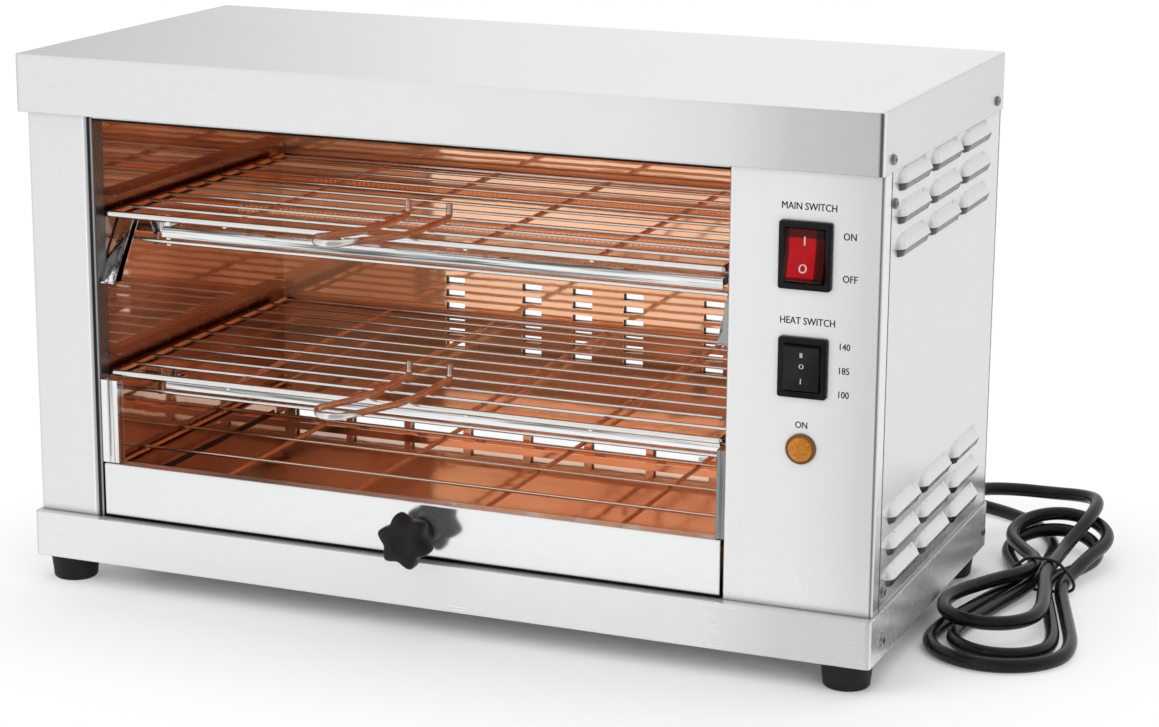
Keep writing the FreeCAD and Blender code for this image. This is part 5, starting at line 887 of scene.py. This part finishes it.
@dataclass
class StarKnob:
    """The six-lobed knob of the crumb tray."""

    place: Triple = (-8.5, -120.3, 61.0)
    lobes: int = 6
    depth: float = 0.23
    thick: float = 14.0
    hub_long: float = 13.0
    steps: int = 192

    def build(self, finishes: FinishBook) -> None:
        """Turns the profile round the stud, with a wave in the radius over the star's own height.

        Each corner is (radius, height, how far the lobes show). The radius is multiplied by
        1 + depth * (lobe - 1) / 2, where lobe runs from -1 between two lobes to 1 at their tips.
        """
        hub_long = self.hub_long
        face = hub_long + self.thick
        shape = np.array([
            (0.01, face - 1.3, 0), (4.6, face - 1.3, 0), (5.6, face - 1.0, 0), (6.5, face - 0.1, 0),
            (7.3, face, 0.1), (11.0, face - 0.1, 0.5), (13.6, face - 0.5, 0.8),
            (15.4, face - 1.4, 0.95), (16.4, face - 2.6, 1), (16.9, face - 4.2, 1), (17.0, face - 6.4, 1),
            (16.9, hub_long + 4.4, 1), (16.4, hub_long + 2.6, 1), (15.2, hub_long + 1.2, 0.9),
            (12.8, hub_long + 0.3, 0.6), (10.4, hub_long - 0.3, 0.15), (9.4, hub_long - 1.6, 0),
            (8.9, hub_long - 5.0, 0), (8.6, 0.6, 0), (8.2, 0.0, 0), (3.2, 0.0, 0), (3.2, 2.0, 0),
            (0.01, 2.0, 0)])
        angle = np.linspace(0.0, TAU, self.steps, endpoint=False)
        lobe = 1.0 - 2.0 * (0.5 - 0.5 * np.cos(self.lobes * angle)) ** 0.8
        wave = 1.0 + self.depth * (lobe[None, :] - 1.0) * 0.5 * shape[:, 2:3]
        item = turned_surface("star_knob", shape[:, :2] * MM, at(*self.place), TO_FRONT, self.steps,
                              wave)
        finish_piece(item, "knob", finishes["knob_plastic"], ("tray_knob",))


@dataclass(frozen=True)
class Switch:
    """One rocker switch of the panel.

    Its level is its pivot's height, its tilt the lean of its rocker at rest in degrees, top edge
    in, and its half the half of the rocker's height at its crown. Each mark is a name, what it
    says and how far above the pivot it sits, along the rocker.
    """

    prefix: str
    finish: str
    slot: str
    level: float
    tilt: float
    half: float
    print_high: float
    marks: tuple[tuple[str, str, float], ...]


@dataclass
class Controls:
    """The bezels, the rockers with their marks, the lens of the lamp and the panel's lettering.

    A rocker's two halves slope in from their crowns at its ends to the valley in its middle. Each
    word is a name, what it says, its height, how far right of the switches it lies, and its level.
    """

    right: float = 224.6
    face: float = -120.0
    lamp_level: float = 137.5
    pivot: float = -119.6
    crown: float = 5.0
    valley: float = 3.4
    rocker_edge: float = 0.7
    bezel_edge: float = 0.35
    mark_proud: float = 0.03
    mark_weight: float = 0.08
    word_proud: float = 0.05
    word_weight: float = 0.07
    switches: tuple[Switch, ...] = (
        Switch("main", "red_rocker", "red_rocker", 247.0, 10.0, 14.35, 5.2,
               (("on", "I", 7.6), ("off", "O", -7.6))),
        Switch("selector", "rocker_black", "black_rocker", 184.0, 0.0, 12.2, 3.0,
               (("high", "II", 7.6), ("off", "O", 1.0), ("low", "I", -7.2))))
    words: tuple[tuple[str, str, float, float, float], ...] = (
        ("main_heading", "MAIN SWITCH", 4.1, 1.5, 274.0), ("main_on", "ON", 4.1, 25.0, 259.0),
        ("main_off", "OFF", 4.1, 25.6, 235.5), ("selector_heading", "HEAT SWITCH", 4.1, 2.0, 210.0),
        ("selector_high", "140", 3.9, 23.4, 197.5), ("selector_middle", "185", 3.9, 23.4, 184.0),
        ("selector_low", "100", 3.9, 23.4, 170.5), ("lamp_word", "ON", 3.9, 0.0, 151.0))

    def mark_place(self, switch: Switch, up: float) -> tuple[Vector, Matrix]:
        """Where a mark lies on the sloping half of a leaning rocker.

        Args:
            switch: The switch that the mark is on.
            up: The mark's distance above the pivot, along the rocker.

        Returns:
            The mark's place and its rotation.
        """
        slope = math.atan2(self.crown - self.valley, switch.half)
        out = self.valley + (self.crown - self.valley) * abs(up) / switch.half + self.mark_proud
        lean = Matrix.Rotation(math.radians(-switch.tilt), 4, "X")
        spot = lean @ Vector((0.0, -out, up, 1.0))
        own = Matrix.Rotation(slope if up > 0 else -slope if up < 0 else 0.0, 4, "X")
        return at(self.right, self.pivot + spot.y, switch.level + spot.z), lean @ own

    def build(self, finishes: FinishBook) -> None:
        """Builds the rockers, their bezels and marks, the words and the lens."""
        for switch in self.switches:
            name = switch.prefix
            rocker = softened(f"{name}_rocker", f"{name}_rocker_shell", self.rocker_edge * MM, 4)
            finish_piece(rocker, f"{name}_switch", finishes[switch.finish],
                         (f"{name}_rocker",))
            bezel = softened(f"{name}_housing", f"{name}_bezel_shell", self.bezel_edge * MM, 2)
            finish_piece(bezel, "case", finishes["bezel_plastic"],
                         (f"{name}_housing",))
        for switch in self.switches:
            for end, says, up in switch.marks:
                place, turn = self.mark_place(switch, up)
                mark = flat_text(f"{switch.prefix}_mark_{end}", says, switch.print_high * MM, place,
                                 turn, self.mark_weight * MM)
                finish_piece(mark, f"{switch.prefix}_switch", finishes["print_white"])
        for name, says, high, beside, level in self.words:
            place = at(self.right + beside, self.face - self.word_proud, level)
            word = flat_text(name, says, high * MM, place, None, self.word_weight * MM)
            finish_piece(word, "case", finishes["print_grey"])
        self.build_lens(finishes)

    def build_lens(self, finishes: FinishBook) -> None:
        """A domed lens with fine rings pressed into it.

        At share t of its arc the radius is R sin(t pi / 2), and the height
        base + dome cos(t pi / 2) - ring (1 - cos(2 pi rings t)) / 2.
        """
        wide, base, dome, ring, rings, foot = 6.98, 1.6, 3.9, 0.12, 6.0, 0.6
        share = np.linspace(0.0, 1.0, 40)
        radius = wide * np.sin(share * math.pi / 2)
        pressed = ring * (0.5 - 0.5 * np.cos(share * TAU * rings))
        height = base + dome * np.cos(share * math.pi / 2) - pressed
        profile = np.vstack([np.column_stack([radius, height]), [(wide, foot), (0.01, foot)]])
        profile[0, 0] = 0.01
        lens = turned_surface("lamp_dome", profile * MM, at(self.right, self.face, self.lamp_level),
                              TO_FRONT, 72)
        finish_piece(lens, "case", finishes["amber_lens"], ("lamp_lens",))


@dataclass
class Filaments:
    """The wound resistance wire in each quartz tube."""

    left: float = -241.0
    right: float = 198.0
    places: Pairs = ((-24.0, 281.5), (66.0, 281.5), (-24.0, 205.0), (66.0, 205.0))
    radius: float = 1.7
    wire: float = 0.35
    turns: int = 120
    steps: int = 11

    def build(self, finishes: FinishBook) -> None:
        """Carries a small circle along a helix in every tube: y and z turn while x runs on."""
        share = np.linspace(0.0, 1.0, self.turns * self.steps)
        angle = share * TAU * self.turns
        x = self.left + (self.right - self.left) * share
        coils = []
        for y, z in self.places:
            path = np.column_stack([x, y + CASE_SHIFT + self.radius * np.cos(angle),
                                    z + self.radius * np.sin(angle)])
            coils.append(carried_tube("coil", path * MM, self.wire * MM, 4))
        joined = bmesh.new()
        for coil in coils:
            joined.from_mesh(coil.data)
            bpy.data.objects.remove(coil)
        mesh = bpy.data.meshes.new("wound_filaments")
        joined.to_mesh(mesh)
        joined.free()
        item = shown("wound_filaments", mesh)
        finish_piece(item, "case", finishes["hot_filament"], ("tube_filaments",))


@dataclass
class MainsCord:
    """The cord from the strain relief through its hank to the plug, with its tie and plug.

    The tie closes round the hank's waist. It is drawn back by drawn, and what lies between
    drawn_from and drawn_to along y goes with it by a smooth share. The loops are slimmer by a part
    of their distance from their edge beside the case, and all of the hank lies aside to the left.
    """

    diameter: float = 8.6
    tie: float = 2.0
    step: float = 10.2
    gap: float = 0.65
    waist: tuple[float, float] = (318.0, 80.0)
    exit: Triple = (238.0, 165.0, 30.0)
    plug_face: Triple = (126.0, 240.7, 18.0)
    drawn: float = 15.5
    drawn_from: float = -20.0
    drawn_to: float = 70.0
    slimmer: float = 0.05
    edge: float = 277.0
    aside: float = 1.8

    def hank_points(self) -> list[Vector]:
        """The hank's corners, as in the CAD source: six strands through the waist and five folds.

        A strand is (steps to the right of the waist, height). A fold is (reach, radius, shift to
        the right, heights from where it is entered to where it is left).
        """
        pitch = self.diameter + self.gap
        low = self.tie + 0.4 + self.diameter / 2
        high, rest = low + pitch, self.diameter / 2 + 0.05
        top, step = rest + pitch + 0.9, self.step
        waist = Vector((*self.waist, 0.0))
        half, corners, bow = 12.0, 5, 1.0
        strands = [(0.5, high + 0.6), (-0.5, high + 0.4), (1.5, low + 0.8), (-1.5, low), (0.5, low),
                   (-0.5, low)]
        level = [rest + 0.8] + [rest] * corners + [rest + 0.8]
        folds = [
            (-97.0, 29.0, -12.0, [top + 1.4] + [top] * corners + [top + 1.4]),
            (96.0, 31.5, -3.5, [top + 1.6, top + 1.6, 21.2, 23.6, 21.2, 17.4, rest + 9.8]),
            (-139.0, 41.0, 1.0, level),
            (90.0, 29.5, -7.0, [rest + 0.8, rest + 2.6, 11.6, 14.2, 11.6, 7.0, rest + 0.8]),
            (-120.0, 29.0, 1.0, level),
        ]
        points = []
        for number, (across, height) in enumerate(strands):
            place = waist + Vector((across * step, 0.0, 0.0))
            ahead = 1.0 if number % 2 else -1.0
            points.append(place + Vector((0.0, -ahead * (2 * half if number == 0 else half), height)))
            if number == len(folds):
                points.append(place + Vector((0.0, 2 * half, height)))
                break
            points.append(place + Vector((0.0, ahead * half, height)))
            reach, radius, shift, heights = folds[number]
            hand = math.copysign(1.0, reach)
            middle = waist + Vector((shift, reach - hand * radius, 0.0))
            enter = place + Vector((0.0, hand * half, 0.0))
            leave = waist + Vector((strands[number + 1][0] * step, hand * half, 0.0))
            come, go = enter - middle, leave - middle
            start = math.atan2(come.y, come.x) - math.acos(radius / come.length)
            end = math.atan2(go.y, go.x) + math.acos(radius / go.length)
            sweep = (start - end) % TAU
            share = sweep / corners

            def round_spot(turn: float, distance: float, fold: Vector = middle) -> Vector:
                """A point at an angle and distance from the fold's middle."""
                return fold + Vector((distance * math.cos(turn), distance * math.sin(turn), 0.0))

            touch_in, touch_out = round_spot(start, radius), round_spot(start - sweep, radius)
            for first, second, height in ((enter, touch_in, heights[0]),
                                          (touch_out, leave, heights[-1])):
                way = second - first
                outward_way = Vector((-way.y, way.x, 0.0)).normalized() * bow
                points.append((first + second) / 2 + outward_way + Vector((0.0, 0.0, height)))
                if first is enter:
                    for corner in range(corners):
                        spot = round_spot(start - share * (corner + 0.5), radius / math.cos(share / 2))
                        points.append(spot + Vector((0.0, 0.0, heights[corner + 1])))
        return points

    def drawn_in(self, spot: Vector) -> Vector:
        """Moves a point of the hank as the cord lies when it is pulled tight in its tie.

        The share s of the way from drawn_from to drawn_to is smoothed to s^2 (3 - 2 s).

        Args:
            spot: The point on the loose route.

        Returns:
            The point that the spline goes by.
        """
        share = min(max((spot.y - self.drawn_from) / (self.drawn_to - self.drawn_from), 0.0), 1.0)
        share = share * share * (3.0 - 2.0 * share)
        inward = self.aside + self.slimmer * share * (spot.x - self.edge)
        return Vector((spot.x - inward, spot.y + self.drawn * share, spot.z))

    def route(self) -> list[Vector]:
        """Every control point of the cord, in the case's millimetres."""
        start, waist = Vector(self.exit), Vector((*self.waist, 0.0))
        lead = ((0, 0, 0), (0, 15, 0), (8.0, 37, 0), (27, 54, -2.5), (54, 60, -4.0), (76, 52, -1.0))
        approach = ((14, 104, 31.8), (14, 74, 28.5), (7.6, 52, 20.4), (5.1, 38, 16.55))
        leaving = ((-5.1, 38, 6.7), (-8, 62, 4.8))
        tail = ((-14, 98, 4.4), (-30, 134, 4.4), (-54, 156, 4.4), (-83, 168, 5), (-111, 172, 8),
                (-134, 170, 12), (-158, 166.5, 16.6), (-178, 163.5, 18))
        hank = ([waist + Vector(p) for p in approach] + self.hank_points()
                + [waist + Vector(p) for p in leaving])
        return ([start + Vector(p) for p in lead] + [self.drawn_in(p) for p in hank]
                + [waist + Vector(p) for p in tail] + [Vector(self.plug_face)])

    def build(self, finishes: FinishBook) -> None:
        curve = bpy.data.curves.new("mains_cord", "CURVE")
        curve.dimensions = "3D"
        curve.bevel_depth = self.diameter / 2 * MM
        curve.bevel_resolution = 6
        curve.resolution_u = 8
        curve.use_fill_caps = True
        spline = curve.splines.new("NURBS")
        points = [at(*spot) for spot in self.route()]
        spline.points.add(len(points) - 1)
        for target, spot in zip(spline.points, points):
            target.co = (*spot, 1.0)
        spline.order_u = 3
        spline.use_endpoint_u = True
        cord = shown("mains_cord", curve)
        finish_piece(cord, "case", finishes["cord_rubber"],
                     ("cord_lead", "cord_hank", "cord_tail"))
        tie = self.build_tie(finishes)
        plug = self.build_plug(finishes)

    def build_tie(self, finishes: FinishBook) -> Piece:
        """The wire tie: one loop close round the six strands at the waist."""
        wire, cord = self.tie / 2, self.diameter / 2
        side = 1.5 * self.step + cord + wire + 0.2
        bottom, shoulder = wire + 0.05, self.tie + 0.4 + 2 * cord
        top = shoulder + self.diameter + self.gap + wire + 0.6
        crown = 0.5 * self.step + cord
        outline = np.array([
            (-0.6 * side, bottom), (0.6 * side, bottom), (side, bottom + 1.6), (side, shoulder - 1.0),
            (crown + 2.0, top - 2.4), (crown - 1.6, top), (-crown + 1.6, top),
            (-crown - 2.0, top - 2.4), (-side, shoulder - 1.0), (-side, bottom + 1.6)])
        loop = smooth_loop(outline, 16)
        round_share = np.arange(len(loop)) / len(loop)
        x, y = self.drawn_in(Vector((*self.waist, 0.0))).xy
        path = np.column_stack([x + loop[:, 0] * 1.02, y + CASE_SHIFT + 0.5 * np.sin(round_share * TAU),
                                np.maximum(loop[:, 1], bottom)])
        tie = carried_tube("cord_tie_wire", path * MM, wire * MM, 10, True)
        return finish_piece(tie, "case", finishes["tie_plastic"], ("cord_tie",))

    def build_plug(self, finishes: FinishBook) -> Piece:
        """A moulded plug: a ribbed neck that flares into a round body with a flat face."""
        ribs, pitch = 5, 4.2
        profile = [(0.01, 0.0), (5.8, 0.0), (6.6, 0.4), (6.7, 2.2)]
        for number in range(ribs):
            z, wide = 3.0 + pitch * number, 6.9 + 0.75 * number
            profile += [(wide - 0.9, z), (wide - 0.9, z + 1.0), (wide + 0.35, z + 1.6),
                        (wide + 0.5, z + 3.2)]
        profile += [(11.2, 26.0), (13.4, 30.0), (15.6, 34.5), (17.2, 39.0), (17.9, 43.5), (18.0, 47.0),
                    (17.4, 48.0), (17.4, 52.0), (18.0, 53.0), (18.0, 64.6), (17.5, 66.6), (16.2, 67.8),
                    (15.0, 68.0), (0.01, 68.0)]
        heading = Vector((-1.0, -0.2, 0.0)).normalized()
        plug = turned_surface("mains_plug", np.array(profile) * MM, at(*self.plug_face), heading, 72)
        return finish_piece(plug, "case", finishes["black_plastic"], ("plug_body",))


# Studio


@dataclass
class Studio:
    """The pale floor, the soft lamps, the world and the camera at the photograph's angle.

    The shadow zone is the ground round the object, as an axis with its middle and half width in
    metres. The room is what gloss and glass see: its tones by height, and from left to right in
    front and at the back.
    """

    yaw: float = 22.06
    pitch: float = 13.99
    roll: float = 0.40
    focal: float = 2926.0
    frame_wide: float = 1159.0
    sensor: float = 36.0
    place: Triple = (697.6, -1614.6, 574.8)
    floor_half: float = 12.0
    shadow_zone: tuple = (("X", 0.03, 0.23), ("Y", 0.04, 0.15))
    shadow_fade: float = 0.18
    room_levels: tuple = ((0.0, 1.0), (0.2, 0.98), (0.34, (0.9, 0.9, 0.905)),
                          (0.46, (0.88, 0.88, 0.885)), (0.62, 0.95), (1.0, 0.98))
    room_front: Pairs = ((0.0, 0.82), (0.3, 0.96), (0.5, 1.0), (0.67, 1.0), (0.8, 0.64), (0.95, 0.46),
                         (1.0, 0.46))
    room_back: Pairs = ((0.0, 0.5), (0.2, 0.68), (0.4, 0.96), (0.6, 1.0), (0.9, 0.94), (1.0, 0.86))

    def build(self) -> None:
        """Sets up everything round the object."""
        self.build_floor()
        self.build_world()
        self.build_lamps()
        self.build_camera()
        bpy.context.scene.view_settings.view_transform = "Standard"

    def build_floor(self) -> None:
        """A pale floor that keeps the shadow beside the object and is white further off."""
        half = self.floor_half
        corners = np.array([(-1, -1, 0), (1, -1, 0), (1, 1, 0), (-1, 1, 0)]) * half
        floor = add_mesh("studio_floor", corners, [[0, 1, 2, 3]], False)
        material = bpy.data.materials.new("studio_floor")
        material.use_nodes = True
        shade = Tree(material.node_tree)
        beyond = []
        for axis, middle, reach in self.shadow_zone:
            off = shade.math("ABSOLUTE", shade.math("SUBTRACT", shade.along(axis), middle))
            over = shade.math("MAXIMUM", shade.math("SUBTRACT", off, reach), 0.0)
            beyond.append(shade.math("MULTIPLY", over, over))
        distance = shade.math("SQRT", shade.math("ADD", *beyond))
        fade = shade.spread(distance, 0.0, 1.0, 0.0, self.shadow_fade)
        surface = material.node_tree.nodes["Principled BSDF"]
        shade.give(surface, Base_Color=shade.blended(fade, (0.94, 0.942, 0.945), (0.94, 0.94, 0.94)),
                   Roughness=0.9, Specular_IOR_Level=0.1)
        glow = shade.add("Emission", Color=(*WHITE, 1.0))
        light = shade.add("LightPath")
        for rays, other in (("Is Camera Ray", glow), ("Is Transmission Ray", glow),
                            ("Is Glossy Ray", shade.add("BsdfTransparent"))):
            surface = shade.either(shade.math("MULTIPLY", light.outputs[rays], fade), surface, other)
        shade.give(material.node_tree.nodes["Material Output"], Surface=surface)
        floor.data.materials.append(material)

    def build_world(self) -> None:
        """Even soft light: the camera sees white, gloss and glass a pale room with dimmer parts."""
        world = bpy.data.worlds.new("studio")
        world.use_nodes = True
        bpy.context.scene.world = world
        shade = Tree(world.node_tree)
        ground = world.node_tree.nodes["Background"]
        shade.give(ground, Color=(*WHITE, 1.0), Strength=0.6)
        split = shade.add("SeparateXYZ", Vector=shade.add("TexCoord").outputs["Generated"])
        across, ahead, up = split.outputs
        level = shade.ramp(shade.spread(up, 0.0, 1.0, -0.2, 1.0), self.room_levels)
        front = shade.ramp(shade.spread(across, 0.0, 1.0, -0.6, -0.15), self.room_front)
        back = shade.ramp(shade.spread(across, 0.0, 1.0, -0.6, -0.1), self.room_back)
        sides = shade.mixed(shade.spread(ahead, 0.0, 1.0, -0.3, 0.3), front, back)
        room = shade.add("Background", Color=shade.shaded(level, sides), Strength=1.0)
        white = shade.add("Background", Color=(*WHITE, 1.0), Strength=1.0)
        light = shade.add("LightPath").outputs
        mirrored = shade.math("MAXIMUM", light["Is Glossy Ray"], light["Is Transmission Ray"])
        seen = shade.either(light["Is Camera Ray"], shade.either(mirrored, ground, room), white)
        shade.give(world.node_tree.nodes["World Output"], Surface=seen)

    def build_lamps(self) -> None:
        """Soft lamps that only light: a key from the left, a fill, a top and a strip in each deck."""
        warm, strip = (1.0, 0.66, 0.46), (0.36, 0.02)
        for name, place, target, size, power, tint in (
                ("key", (-1.5, -1.7, 1.9), (0.0, 0.0, 0.15), (1.8, 1.8), 24.0, WHITE),
                ("fill", (1.9, -1.2, 1.3), (0.1, 0.0, 0.15), (1.6, 1.6), 10.0, WHITE),
                ("top", (0.1, 0.3, 2.4), (0.0, 0.0, 0.1), (2.2, 2.2), 22.0, WHITE),
                ("upper_deck", (-0.022, -0.068, 0.282), (-0.022, 0.16, 0.2), strip, 0.2, warm),
                ("lower_deck", (-0.022, -0.068, 0.172), (-0.022, 0.16, 0.12), strip, 0.36, warm)):
            lamp = bpy.data.lights.new(name, "AREA")
            lamp.shape = "RECTANGLE"
            lamp.size, lamp.size_y = size
            lamp.energy, lamp.color = power, tint
            holder = shown(name, lamp)
            holder.location = place
            holder.rotation_euler = (Vector(target) - Vector(place)).to_track_quat("-Z", "Y").to_euler()
            holder.visible_camera = holder.visible_glossy = holder.visible_transmission = False

    def build_camera(self) -> None:
        """The camera found by fitting the case's corners to the photograph, roll included."""
        yaw, pitch, roll = (math.radians(v) for v in (self.yaw, self.pitch, self.roll))
        level = math.cos(pitch)
        back = Vector((math.sin(yaw) * level, -math.cos(yaw) * level, math.sin(pitch)))
        flat_right = Vector((math.cos(yaw), math.sin(yaw), 0.0))
        flat_up = back.cross(flat_right)
        right = math.cos(roll) * flat_right + math.sin(roll) * flat_up
        up = math.cos(roll) * flat_up - math.sin(roll) * flat_right
        lens = bpy.data.cameras.new("camera")
        lens.sensor_fit = "HORIZONTAL"
        lens.sensor_width = self.sensor
        lens.lens = self.focal * self.sensor / self.frame_wide
        lens.clip_start, lens.clip_end = 0.05, 40.0
        camera = shown("camera", lens)
        turn = Matrix((right, up, back)).transposed().to_4x4()
        camera.matrix_world = Matrix.Translation(at(*self.place)) @ turn
        bpy.context.scene.camera = camera


def main() -> None:
    """Builds the toaster's looks in order."""
    logging.basicConfig(level=logging.INFO, format="%(name)s: %(message)s")
    finishes = FinishBook()
    for part in (Casing(), StarKnob(), Controls(), Filaments(), MainsCord()):
        part.build(finishes)
    Studio().build()


if __name__ == "__main__":
    main()
